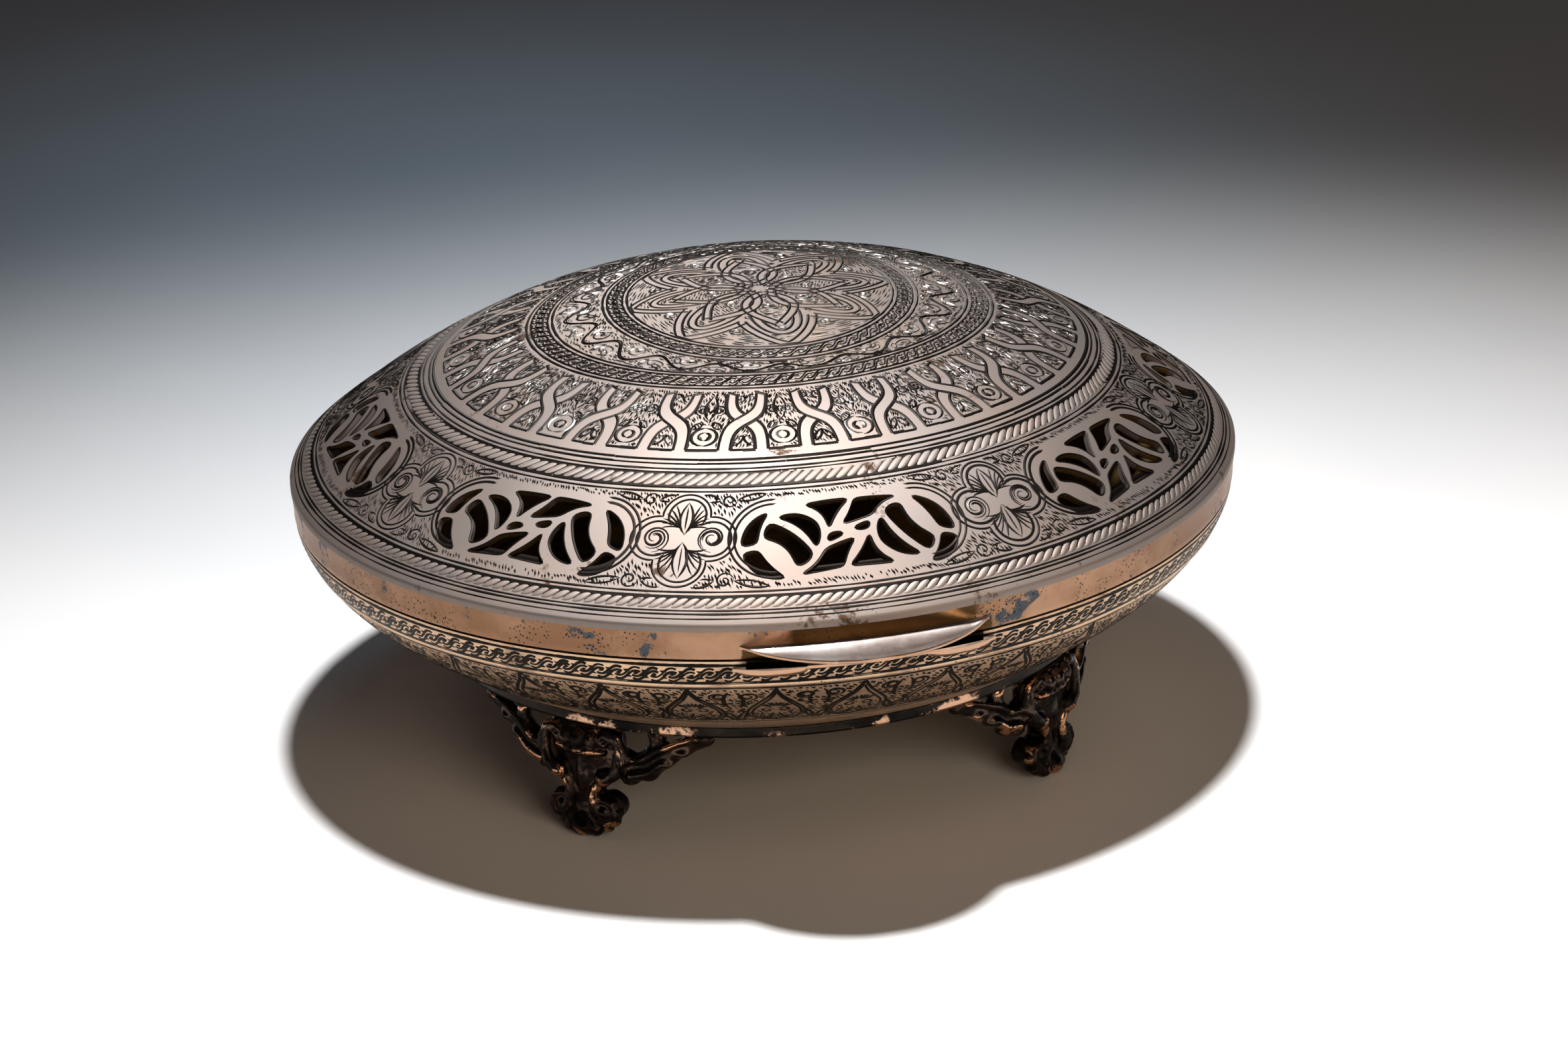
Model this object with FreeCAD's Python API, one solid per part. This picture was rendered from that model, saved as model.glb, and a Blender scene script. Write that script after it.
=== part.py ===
import FreeCAD, Part
import math
import os

V = FreeCAD.Vector

# Plan of the box: an oval, long along X, with the thumb piece at -Y and the hinge at +Y
LID_LENGTH = 176.0
LID_WIDTH = 158.0
BASE_LENGTH = 125.0

# Heights, from the floor upwards
FOOT_HEIGHT = 22.2
BASE_RING_HEIGHT = 2.2
BOWL_DEPTH = 23.8
LID_GAP = 0.4
BAND_HEIGHT = 6.6
DOME_RISE = 31.0

# Sheet metal
DOME_SHEET = 1.2
BAND_SHEET = 1.4
BOWL_SHEET = 1.3
PLATE_SHEET = 1.0

# Curves of the raised shells
DOME_FULLNESS = 2.47
BOWL_FULLNESS = 1.73
CURVE_STEPS = 9
DOME_TURN_DOWN = 1.2
CREASE_ROUND = 0.9
BAND_TAPER = 0.4
MOUTH_INSET = 0.6

# Base ring and the bottom plate let into it
BASE_RING_WIDTH = 5.2
BOWL_SEAT = 3.0
PLATE_CLEARANCE = 0.05

# Bezel inside the mouth
BEZEL_SHEET = 1.0
BEZEL_STAND = 2.4
BEZEL_DROP = 2.0
BEZEL_CLEARANCE = 0.2
SOLDER_GAP = 0.05

# Thumb piece on the lid and finger lip on the bowl
THUMB_SPAN = 44.0
THUMB_REACH = 8.5
THUMB_THICKNESS = 1.1
THUMB_ABOVE_BAND_FOOT = 1.5
THUMB_EDGE_ROUND = 0.4
LIP_SPAN = 46.0
LIP_REACH = 4.4
LIP_THICKNESS = 1.2
LIP_BELOW_MOUTH = 0.6
LIP_NOTCH_RADIUS = 22.0
LIP_NOTCH_LEFT = 1.2

# Hinge
HINGE_LENGTH = 30.0
KNUCKLE_COUNT = 5
KNUCKLE_RADIUS = 2.2
KNUCKLE_GAP = 0.15
PIN_RADIUS = 0.85
PIN_CLEARANCE = 0.05
PIN_HEAD_RADIUS = 1.5
PIN_HEAD_LENGTH = 0.7
HINGE_WALL_CLEARANCE = 0.4
LEAF_CLEARANCE = 0.4
LEAF_HEIGHT = 2.8
LEAF_THICKNESS = 1.2

# Pierced cartouches on the dome
CARTOUCHE_COUNT = 8
CARTOUCHE_INSET = 13.0
PIERCE_DEPTH = 10.0
# Openings of one half of a cartouche, drawn for this length of rim to each cartouche. Each outline
# goes round its corners counter-clockwise, and each corner has its place along the rim, its place
# up the slope, and how far the side to the next corner bows outwards
DRAWN_ROOM = 58.9
HALF_OPENINGS = {
    "end_upper": [(-13.4, 6.4, 1.35), (-19.2, 1.4, 0.1), (-16.4, 1.1, -0.5)],
    "end_lower": [(-19.2, -0.1, 1.75), (-12.6, -6.5, -0.5), (-16.4, -0.4, 0.1)],
    "scroll_outer": [(-6.3, -2.2, 0.6), (-5.3, 2.4, 1.1), (-11.9, 5.0, -1.0)],
    "scroll_inner": [(-10.4, -4.9, 0.5), (-7.2, -3.3, 0.7), (-13.5, 4.2, 0.3), (-15.0, 1.6, -1.2)],
    "above_stem": [(-3.4, 0.9, -0.4), (1.2, 6.4, 0.1), (-6.8, 6.4, -1.1)],
    "below_stem": [(-9.8, -6.5, 0.1), (-2.2, -6.4, -0.3), (0.9, -1.5, 0.1), (-4.8, -2.9, -0.6)],
    "bud": [(-4.0, -1.5, 0.15), (-0.9, -0.35, 0.3), (-3.4, -0.15, 0.2)],
}

# Cast feet
FOOT_ANGLES = {"front_right": -45.0, "front_left": -135.0, "rear_left": 135.0, "rear_right": 45.0}
FOOT_INSET = 2.4
FOOT_WALL = 3.4
WING_REACH = 23.2
WING_TIP = 2.2
WING_ROOT = 10.6
WING_GAP_DEPTH = 3.6
WING_ELBOW = 14.8
WING_UNDER_RISE = -1.4
WING_TIP_RISE = 0.5
SHELL_HALF_WIDTH = 8.2
SHELL_HALF_DEPTH = 3.9
SHELL_HEIGHT = 16.6
COLLAR_HALF_WIDTH = 7.3
COLLAR_HALF_DEPTH = 2.6
ANKLE_HEIGHT = 8.8
ANKLE_HALF_WIDTH = 3.2
ANKLE_HALF_DEPTH = 2.6
SOLE_HALF_WIDTH = 2.7
SOLE_HALF_DEPTH = 2.6
TOE_HALF_WIDTH = 3.9
TOE_HALF_DEPTH = 3.2
TOE_HEIGHT = 3.1
VOLUTE_RADIUS = 2.6
VOLUTE_SPREAD = 4.3
VOLUTE_HEIGHT = 5.2
VOLUTE_DEPTH = 6.6
VOLUTE_FRONT = 3.6
VOLUTE_ROUND = 0.7
BEAD_COUNT = 5
BEAD_RADIUS = 1.15
BEAD_PITCH = 2.45
BEAD_SINK = 0.45
BEAD_DROP = 2.3
SCROLL_BEND = 4.2
SCROLL_RADIUS = 0.8
SCROLL_SPREAD = 3.4
SCROLL_HEIGHT = 16.4
SCROLL_FRONT = 2.9
SCROLL_START = -115.0
SCROLL_SWEEP = 195.0
SCROLL_BULB_RADIUS = 1.25

# Worked-out sizes
LID_RADIUS = LID_LENGTH / 2
OVAL_RATIO = LID_WIDTH / LID_LENGTH
BASE_RADIUS = BASE_LENGTH / 2
MOUTH_RADIUS = LID_RADIUS - MOUTH_INSET
RING_TOP = FOOT_HEIGHT + BASE_RING_HEIGHT
MOUTH_Z = RING_TOP + BOWL_DEPTH
BAND_FOOT_Z = MOUTH_Z + LID_GAP
CREASE_Z = BAND_FOOT_Z + BAND_HEIGHT
BAND_TOP_Z = CREASE_Z - DOME_TURN_DOWN
BORE_RADIUS = PIN_RADIUS + PIN_CLEARANCE
HINGE_Z = MOUTH_Z + LID_GAP / 2
HINGE_Y = LID_WIDTH / 2 + HINGE_WALL_CLEARANCE + KNUCKLE_RADIUS
KNUCKLE_PITCH = HINGE_LENGTH / KNUCKLE_COUNT
LEAF_START = KNUCKLE_RADIUS + LEAF_CLEARANCE
CARTOUCHE_PITCH = 360.0 / CARTOUCHE_COUNT
CARTOUCHE_RADIUS = LID_RADIUS - CARTOUCHE_INSET
DRAWING_SCALE = 2 * math.pi * CARTOUCHE_RADIUS / CARTOUCHE_COUNT / DRAWN_ROOM
# The oval stands off centre by this much, so that the origin is the middle of the whole box
ORIGIN_SHIFT = (LID_WIDTH / 2 + THUMB_REACH - HINGE_Y - KNUCKLE_RADIUS) / 2


def squeeze(shape):
    """Turn a round shape into the box's oval."""
    matrix = FreeCAD.Matrix()
    matrix.scale(V(1.0, OVAL_RATIO, 1.0))
    return shape.transformGeometry(matrix)


def spun(edges):
    """Spin a closed section in the XZ plane about Z."""
    face = Part.Face(Part.Wire(edges))
    return face.revolve(V(0, 0, 0), V(0, 0, 1), 360)


def spun_polygon(corners):
    """Spin a straight-sided section given as radius and height pairs."""
    points = [V(r, 0, z) for r, z in corners]
    return spun(Part.makePolygon(points + points[:1]).Edges)


def curve(points):
    """Smooth edge through the given points."""
    spline = Part.BSplineCurve()
    spline.interpolate(points)
    return spline.toShape()


def line(start, end):
    return Part.makeLine(start, end)


def dome_point(radius, depth):
    """Point of the dome's section at a radius of its outside, sunk along the normal."""
    share = radius / LID_RADIUS
    height = CREASE_Z + DOME_RISE * (1 - share ** DOME_FULLNESS)
    fall = DOME_RISE * DOME_FULLNESS / LID_RADIUS * share ** (DOME_FULLNESS - 1)
    length = math.hypot(fall, 1.0)
    return V(radius - depth * fall / length, 0, height - depth / length)


def bowl_point(share, depth):
    """Point of the bowl's section, from the mouth (0) to the base (1), sunk along the normal."""
    waist = MOUTH_RADIUS - BASE_RADIUS
    radius = MOUTH_RADIUS - waist * share ** BOWL_FULLNESS
    narrowing = waist * BOWL_FULLNESS * share ** (BOWL_FULLNESS - 1)
    length = math.hypot(narrowing, BOWL_DEPTH)
    height = MOUTH_Z - BOWL_DEPTH * share
    return V(radius - depth * BOWL_DEPTH / length, 0, height + depth * narrowing / length)


def arc_between(start, end, rise):
    """Arc from start to end whose middle stands off the chord by rise, to the left of it."""
    chord = end.sub(start)
    left = V(-chord.y, chord.x, 0).normalize()
    middle = start.add(end).multiply(0.5).add(left.multiply(rise))
    return Part.Arc(start, middle, end).toShape()


def opening(corners):
    """Prism of one opening, from an outline of bowed sides, drawn flat at the origin."""
    low = -PIERCE_DEPTH / 2
    sides = []
    for (along, up, bow), (next_along, next_up, _) in zip(corners, corners[1:] + corners[:1]):
        sides.append(arc_between(V(along, up, low), V(next_along, next_up, low), -bow))
    return Part.Face(Part.Wire(sides)).extrude(V(0, 0, PIERCE_DEPTH))


def cartouche_openings():
    """All the openings of one cartouche, flat at the origin, with a half turn about its middle."""
    made = []
    for corners in HALF_OPENINGS.values():
        for place in (DRAWING_SCALE, -DRAWING_SCALE):
            made.append(opening([(place * along, place * up, DRAWING_SCALE * bow)
                                 for along, up, bow in corners]))
    return made


def make_dome():
    apex_out = dome_point(0.0, 0.0)
    rim_depth_share = DOME_RISE * DOME_FULLNESS / LID_RADIUS
    rim_normal = rim_depth_share / math.hypot(rim_depth_share, 1.0)
    inner_reach = LID_RADIUS - DOME_SHEET * (1 - rim_normal)
    outer = [dome_point(LID_RADIUS * i / CURVE_STEPS, 0.0) for i in range(CURVE_STEPS + 1)]
    inner = [dome_point(inner_reach * i / CURVE_STEPS, DOME_SHEET) for i in range(CURVE_STEPS + 1)]
    inner[-1].x = LID_RADIUS - DOME_SHEET
    edge_out = V(LID_RADIUS, 0, BAND_TOP_Z)
    edge_in = V(LID_RADIUS - DOME_SHEET, 0, BAND_TOP_Z)
    shell = spun([curve(outer), line(outer[-1], edge_out), line(edge_out, edge_in),
                  line(edge_in, inner[-1]), curve(inner[::-1]), line(inner[0], apex_out)])
    crease = [e for e in shell.Edges
              if abs(e.BoundBox.ZMax - CREASE_Z) < 1e-3 and abs(e.BoundBox.XMax - LID_RADIUS) < 1e-3
              and e.BoundBox.ZLength < 1e-3]
    shell = shell.makeFillet(CREASE_ROUND, crease)
    middle = dome_point(CARTOUCHE_RADIUS, 0.0)
    share = CARTOUCHE_RADIUS / LID_RADIUS
    fall = DOME_RISE * DOME_FULLNESS / LID_RADIUS * share ** (DOME_FULLNESS - 1)
    tools = []
    for flat in cartouche_openings():
        flat.rotate(V(0, 0, 0), V(1, 0, 0), math.degrees(math.atan(fall)))
        flat.translate(V(0, -middle.x, middle.z))
        for k in range(CARTOUCHE_COUNT):
            tool = flat.copy()
            tool.rotate(V(0, 0, 0), V(0, 0, 1), k * CARTOUCHE_PITCH)
            tools.append(tool)
    return squeeze(shell.cut(tools))


def lid_plug():
    """Everything inside the outer face of the lid band, and of the gap under it, as one solid."""
    foot_radius = LID_RADIUS - BAND_TAPER
    return squeeze(spun_polygon([(0, MOUTH_Z), (foot_radius, MOUTH_Z), (foot_radius, BAND_FOOT_Z),
                                 (LID_RADIUS, BAND_TOP_Z), (0, BAND_TOP_Z)]))


def bowl_plug():
    """Everything inside the outer face of the bowl wall near its mouth, with room for solder."""
    deepest = (LEAF_START + LEAF_HEIGHT) / BOWL_DEPTH
    points = [bowl_point(deepest * i / CURVE_STEPS, -SOLDER_GAP) for i in range(CURVE_STEPS + 1)]
    wall = [(point.x, point.z) for point in points]
    top = BAND_FOOT_Z
    return squeeze(spun_polygon([(0, top), (wall[0][0], top)] + wall + [(0, wall[-1][1])]))


def make_band():
    foot_radius = LID_RADIUS - BAND_TAPER
    return squeeze(spun_polygon([(foot_radius, BAND_FOOT_Z), (LID_RADIUS, BAND_TOP_Z),
                                 (LID_RADIUS - BAND_SHEET, BAND_TOP_Z),
                                 (foot_radius - BAND_SHEET, BAND_FOOT_Z)]))


def make_bowl():
    outer = [bowl_point(i / CURVE_STEPS, 0.0) for i in range(CURVE_STEPS + 1)]
    inner = [bowl_point(i / CURVE_STEPS, BOWL_SHEET) for i in range(CURVE_STEPS + 1)]
    inner[0].z = MOUTH_Z
    end = inner[-1]
    along = end.sub(inner[-2])
    seat = V(end.x + along.x * (RING_TOP - end.z) / along.z, 0, RING_TOP)
    return squeeze(spun([curve(outer), line(outer[-1], seat), line(seat, end),
                         curve(inner[::-1]), line(inner[0], outer[0])]))


def make_bezel():
    outer = bowl_point(BEZEL_DROP / BOWL_DEPTH, BOWL_SHEET).x - BEZEL_CLEARANCE
    inner = outer - BEZEL_SHEET
    low = MOUTH_Z - BEZEL_DROP
    high = MOUTH_Z + BEZEL_STAND
    return squeeze(spun_polygon([(inner, low), (outer, low), (outer, high), (inner, high)]))


def make_base_ring():
    inner = BASE_RADIUS - BASE_RING_WIDTH
    ledge = BASE_RADIUS - BOWL_SEAT
    ledge_z = RING_TOP - PLATE_SHEET
    return squeeze(spun_polygon([(inner, FOOT_HEIGHT), (BASE_RADIUS, FOOT_HEIGHT), (BASE_RADIUS, RING_TOP),
                                 (ledge, RING_TOP), (ledge, ledge_z), (inner, ledge_z)]))


def make_base_plate():
    radius = BASE_RADIUS - BOWL_SEAT - PLATE_CLEARANCE
    low = RING_TOP - PLATE_SHEET
    return squeeze(spun_polygon([(0, low), (radius, low), (radius, RING_TOP), (0, RING_TOP)]))


def crescent(span, reach, wall_half_length, wall_half_width, low, thickness):
    """Disc segment that bulges out of the front of an oval wall by the given reach."""
    half = span / 2
    wall_y = wall_half_width * math.sqrt(1 - (half / wall_half_length) ** 2)
    rise = wall_half_width + reach - wall_y
    radius = (half ** 2 + rise ** 2) / (2 * rise)
    centre = V(0, radius - wall_half_width - reach, low)
    return Part.makeCylinder(radius, thickness, centre)


def make_thumb_piece(plug):
    low = BAND_FOOT_Z + THUMB_ABOVE_BAND_FOOT
    tongue = crescent(THUMB_SPAN, THUMB_REACH, LID_RADIUS, LID_WIDTH / 2, low, THUMB_THICKNESS)
    tongue = tongue.makeFillet(THUMB_EDGE_ROUND, [e for e in tongue.Edges if e.BoundBox.ZLength < 1e-6])
    pieces = tongue.cut(plug).Solids
    return min(pieces, key=lambda solid: solid.CenterOfMass.y)


def make_finger_lip(plug):
    low = MOUTH_Z - LIP_BELOW_MOUTH - LIP_THICKNESS
    half_width = MOUTH_RADIUS * OVAL_RATIO
    lip = crescent(LIP_SPAN, LIP_REACH, MOUTH_RADIUS, half_width, low, LIP_THICKNESS)
    notch_y = -half_width - LIP_NOTCH_LEFT - LIP_NOTCH_RADIUS
    notch = Part.makeCylinder(LIP_NOTCH_RADIUS, LIP_THICKNESS, V(0, notch_y, low))
    pieces = lip.cut(plug).cut(notch).Solids
    return min(pieces, key=lambda solid: solid.CenterOfMass.y)


def make_hinge_leaf(plug, is_lid):
    """Leaf soldered to the wall, with its share of the knuckles and an arm to each of them."""
    root_y = LID_WIDTH / 2 - KNUCKLE_RADIUS - LEAF_THICKNESS
    back_y = LID_WIDTH / 2 + LEAF_THICKNESS
    side = 1 if is_lid else -1
    leaf_z = min(side * LEAF_START, side * (LEAF_START + LEAF_HEIGHT))
    arm_height = LEAF_START + LEAF_HEIGHT
    arm_z = 0 if is_lid else -arm_height
    leaf = Part.makeBox(HINGE_LENGTH, back_y - root_y, LEAF_HEIGHT,
                        V(-HINGE_LENGTH / 2, root_y, HINGE_Z + leaf_z))
    for k in range(KNUCKLE_COUNT):
        if (k % 2 == 1) != is_lid:
            continue
        width = KNUCKLE_PITCH - KNUCKLE_GAP
        x = -HINGE_LENGTH / 2 + k * KNUCKLE_PITCH + KNUCKLE_GAP / 2
        arm = Part.makeBox(width, HINGE_Y - root_y, arm_height, V(x, root_y, HINGE_Z + arm_z))
        knuckle = Part.makeCylinder(KNUCKLE_RADIUS, width, V(x, HINGE_Y, HINGE_Z), V(1, 0, 0))
        leaf = leaf.fuse([arm.cut(plug), knuckle])
    bore = Part.makeCylinder(BORE_RADIUS, HINGE_LENGTH, V(-HINGE_LENGTH / 2, HINGE_Y, HINGE_Z), V(1, 0, 0))
    solid = leaf.cut(plug).cut(bore).removeSplitter()
    return max(solid.Solids, key=lambda piece: piece.Volume)


def make_hinge_pin():
    start = -HINGE_LENGTH / 2
    shaft = Part.makeCylinder(PIN_RADIUS, HINGE_LENGTH, V(start, HINGE_Y, HINGE_Z), V(1, 0, 0))
    heads = [Part.makeCylinder(PIN_HEAD_RADIUS, PIN_HEAD_LENGTH, V(x, HINGE_Y, HINGE_Z), V(1, 0, 0))
             for x in (start - PIN_HEAD_LENGTH, -start)]
    return shaft.fuse(heads).removeSplitter()


def mirrored_wire(edges):
    """Close a right-hand outline, drawn in XZ from the bottom to the top, with its mirror image."""
    mirror = [e.mirror(V(0, 0, 0), V(1, 0, 0)) for e in edges]
    bottom = edges[0].Vertexes[0].Point
    top = edges[-1].Vertexes[-1].Point
    closing = [line(V(-bottom.x, 0, bottom.z), bottom), line(top, V(-top.x, 0, top.z))]
    return Part.Wire(Part.__sortEdges__(edges + mirror + closing))


def xz_bow(start, end, rise):
    """Arc in the XZ plane whose middle stands off the chord by rise, to the left of it."""
    first = V(start[0], 0, start[1])
    last = V(end[0], 0, end[1])
    chord = last.sub(first)
    left = V(-chord.z, 0, chord.x).normalize()
    middle = first.add(last).multiply(0.5).add(left.multiply(rise))
    return Part.Arc(first, middle, last).toShape()


def wing_plaque():
    """Wall of the foot with its two leaf wings, curved along the base ring."""
    top = FOOT_HEIGHT
    ankle = (ANKLE_HALF_WIDTH, ANKLE_HEIGHT)
    elbow = (WING_ELBOW, top - WING_GAP_DEPTH - WING_TIP)
    tip_low = (WING_REACH, top - WING_TIP)
    gap_out = WING_REACH - 2 * WING_TIP
    edges = [xz_bow(ankle, elbow, WING_UNDER_RISE),
             xz_bow(elbow, tip_low, WING_TIP_RISE),
             line(V(WING_REACH, 0, tip_low[1]), V(WING_REACH, 0, top)),
             line(V(WING_REACH, 0, top), V(gap_out, 0, top)),
             xz_bow((gap_out, top), (WING_ROOT, top), WING_GAP_DEPTH)]
    outline = Part.Face(mirrored_wire(edges))
    slab = outline.extrude(V(0, 2 * WING_REACH, 0))
    slab.translate(V(0, -FOOT_WALL, 0))
    radius = BASE_RADIUS - FOOT_INSET
    axis = V(0, radius, 0)
    ring = Part.makeCylinder(radius + FOOT_WALL / 2, top, axis)
    ring = ring.cut(Part.makeCylinder(radius - FOOT_WALL / 2, top, axis))
    return slab.common(ring)


def oval_section(half_width, half_depth, height):
    """Elliptical section of the leg at a height."""
    if half_width >= half_depth:
        ellipse = Part.Ellipse(V(0, 0, height), half_width, half_depth)
    else:
        ellipse = Part.Ellipse(V(0, 0, height), half_depth, half_width)
        ellipse.rotate(FreeCAD.Placement(V(0, 0, 0), FreeCAD.Rotation(V(0, 0, 1), 90)))
    return Part.Wire(ellipse.toShape())


def side_scroll():
    """C-shaped ridge on the right of the shell, with a bulb at its lower end."""
    ridge = Part.makeTorus(SCROLL_BEND, SCROLL_RADIUS, V(0, 0, 0), V(0, 0, 1), -180, 180, SCROLL_SWEEP)
    bulb = Part.makeSphere(SCROLL_BULB_RADIUS, V(SCROLL_BEND, 0, 0))
    scroll = ridge.fuse(bulb)
    scroll.rotate(V(0, 0, 0), V(0, 0, 1), SCROLL_START)
    scroll.rotate(V(0, 0, 0), V(1, 0, 0), 90)
    scroll.translate(V(SCROLL_SPREAD, -SCROLL_FRONT, SCROLL_HEIGHT))
    return scroll


def make_foot():
    """One cast foot, standing at the origin and facing -Y."""
    top = FOOT_HEIGHT
    sections = [(SOLE_HALF_WIDTH, SOLE_HALF_DEPTH, 0.0),
                (TOE_HALF_WIDTH, TOE_HALF_DEPTH, TOE_HEIGHT),
                (ANKLE_HALF_WIDTH, ANKLE_HALF_DEPTH, ANKLE_HEIGHT),
                (SHELL_HALF_WIDTH, SHELL_HALF_DEPTH, SHELL_HEIGHT),
                (COLLAR_HALF_WIDTH, COLLAR_HALF_DEPTH, top)]
    leg = Part.makeLoft([oval_section(*row) for row in sections], True)
    volute = Part.makeCylinder(VOLUTE_RADIUS, VOLUTE_DEPTH, V(0, -VOLUTE_FRONT, 0), V(0, 1, 0))
    volute = volute.makeFillet(VOLUTE_ROUND, [e for e in volute.Edges if e.BoundBox.YLength < 1e-6])
    scroll = side_scroll()
    extras = [scroll, scroll.mirror(V(0, 0, 0), V(1, 0, 0))]
    for side in (-1, 1):
        curl = volute.copy()
        curl.translate(V(side * VOLUTE_SPREAD, 0, VOLUTE_HEIGHT))
        extras.append(curl)
    for k in range(BEAD_COUNT):
        x = (k - (BEAD_COUNT - 1) / 2) * BEAD_PITCH
        depth = SHELL_HALF_DEPTH * math.sqrt(max(0.0, 1 - (x / SHELL_HALF_WIDTH) ** 2))
        extras.append(Part.makeSphere(BEAD_RADIUS, V(x, BEAD_SINK - depth, top - BEAD_DROP)))
    foot = leg
    for piece in [wing_plaque()] + extras:
        foot = foot.fuse(piece)
    return foot.removeSplitter()


def place_foot(foot, angle):
    """Stand a foot under the base ring at an angle round the oval, facing outwards."""
    turn = math.radians(angle)
    radius = BASE_RADIUS - FOOT_INSET
    half_width = BASE_RADIUS * OVAL_RATIO - FOOT_INSET
    outwards = math.degrees(math.atan2(math.sin(turn) / half_width, math.cos(turn) / radius))
    placed = foot.copy()
    placed.rotate(V(0, 0, 0), V(0, 0, 1), outwards + 90)
    placed.translate(V(radius * math.cos(turn), half_width * math.sin(turn), 0))
    return placed


def save(shape, name):
    moved = shape.copy()
    moved.translate(V(0, ORIGIN_SHIFT, 0))
    box = moved.BoundBox
    print(f"{name}: {len(moved.Solids)} solid, {moved.Volume:.1f} mm3, valid {moved.isValid()}, "
          f"x {box.XMin:.2f} {box.XMax:.2f}, y {box.YMin:.2f} {box.YMax:.2f}, z {box.ZMin:.2f} {box.ZMax:.2f}")
    moved.exportStep(f"parts/{name}.step")


def main():
    os.makedirs("parts", exist_ok=True)
    lid_inside = lid_plug()
    bowl_inside = bowl_plug()
    foot = make_foot()
    save(make_dome(), "lid_dome")
    save(make_band(), "lid_band")
    save(make_thumb_piece(lid_inside), "thumb_piece")
    save(make_hinge_leaf(lid_inside, True), "lid_hinge_leaf")
    save(make_bowl(), "bowl_shell")
    save(make_bezel(), "mouth_bezel")
    save(make_finger_lip(bowl_inside), "finger_lip")
    save(make_hinge_leaf(bowl_inside, False), "bowl_hinge_leaf")
    save(make_hinge_pin(), "hinge_pin")
    save(make_base_ring(), "base_ring")
    save(make_base_plate(), "base_plate")
    for corner, angle in FOOT_ANGLES.items():
        save(place_foot(foot, angle), f"foot_{corner}")


main()
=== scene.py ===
"""Looks of an oval silver box: pierced and engraved domed lid, engraved bowl and cast scroll feet."""

import logging
import math
from dataclasses import dataclass, field
from enum import Enum
from typing import Callable, Sequence

import bmesh
import bpy
import numpy as np
from mathutils import Matrix, Vector
from mathutils.geometry import delaunay_2d_cdt


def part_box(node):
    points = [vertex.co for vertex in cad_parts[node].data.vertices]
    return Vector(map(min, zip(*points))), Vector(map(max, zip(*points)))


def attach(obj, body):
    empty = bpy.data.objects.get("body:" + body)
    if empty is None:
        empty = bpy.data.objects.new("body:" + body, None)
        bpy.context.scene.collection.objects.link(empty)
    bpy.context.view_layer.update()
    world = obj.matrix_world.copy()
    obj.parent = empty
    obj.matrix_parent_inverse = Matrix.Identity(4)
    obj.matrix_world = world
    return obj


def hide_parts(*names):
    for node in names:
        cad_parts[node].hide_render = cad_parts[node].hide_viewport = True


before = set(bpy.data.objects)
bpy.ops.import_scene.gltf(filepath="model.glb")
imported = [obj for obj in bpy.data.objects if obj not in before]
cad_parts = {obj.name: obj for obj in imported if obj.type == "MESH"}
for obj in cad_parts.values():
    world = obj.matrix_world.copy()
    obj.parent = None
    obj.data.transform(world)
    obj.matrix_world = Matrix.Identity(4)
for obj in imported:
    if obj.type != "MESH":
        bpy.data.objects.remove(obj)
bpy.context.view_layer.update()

LOG = logging.getLogger("silver_box")
MM = 0.001
IMAGE_WIDTH = 2365
IMAGE_HEIGHT = 1568
FRONT = -math.pi / 2
PATH_STEPS = 720
RING_STEPS = 360

Array = np.ndarray
Object = bpy.types.Object
Material = bpy.types.Material
Node = bpy.types.Node
Socket = bpy.types.NodeSocket
Tree = bpy.types.NodeTree
Colour = tuple[float, float, float]
Point = tuple[float, float]
Keep = Callable[[Array, Array], Array]


class Slot(Enum):
    """Material slots of the part's record."""

    LID = "engraved_silver"
    PLAIN = "plain_silver"
    BOWL = "bowl_silver"
    BASE = "dark_base"
    FEET = "cast_feet"
    INSIDE = "gilt_inside"


def circle(steps: int) -> Array:
    """Evenly spaced angles all the way round."""
    return np.linspace(0, math.tau, steps, endpoint=False)


def zipped(*columns: Array) -> Array:
    """Put columns of numbers side by side."""
    return np.stack(columns, -1)


def joined(*blocks: Array) -> Array:
    """Put blocks of rows one under the other."""
    return np.concatenate(blocks)


def node_box(name: str) -> tuple[Array, Array]:
    """Corners of a CAD node in millimetres."""
    low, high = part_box(name)
    return np.array(low) / MM, np.array(high) / MM


def placed(name: str, data: bpy.types.ID) -> Object:
    """Make an object of some data and put it in the scene.

    Args:
        name: its name.
        data: its mesh, camera or light.

    Returns:
        The object.
    """
    made = bpy.data.objects.new(name, data)
    bpy.context.scene.collection.objects.link(made)
    return made


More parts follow.
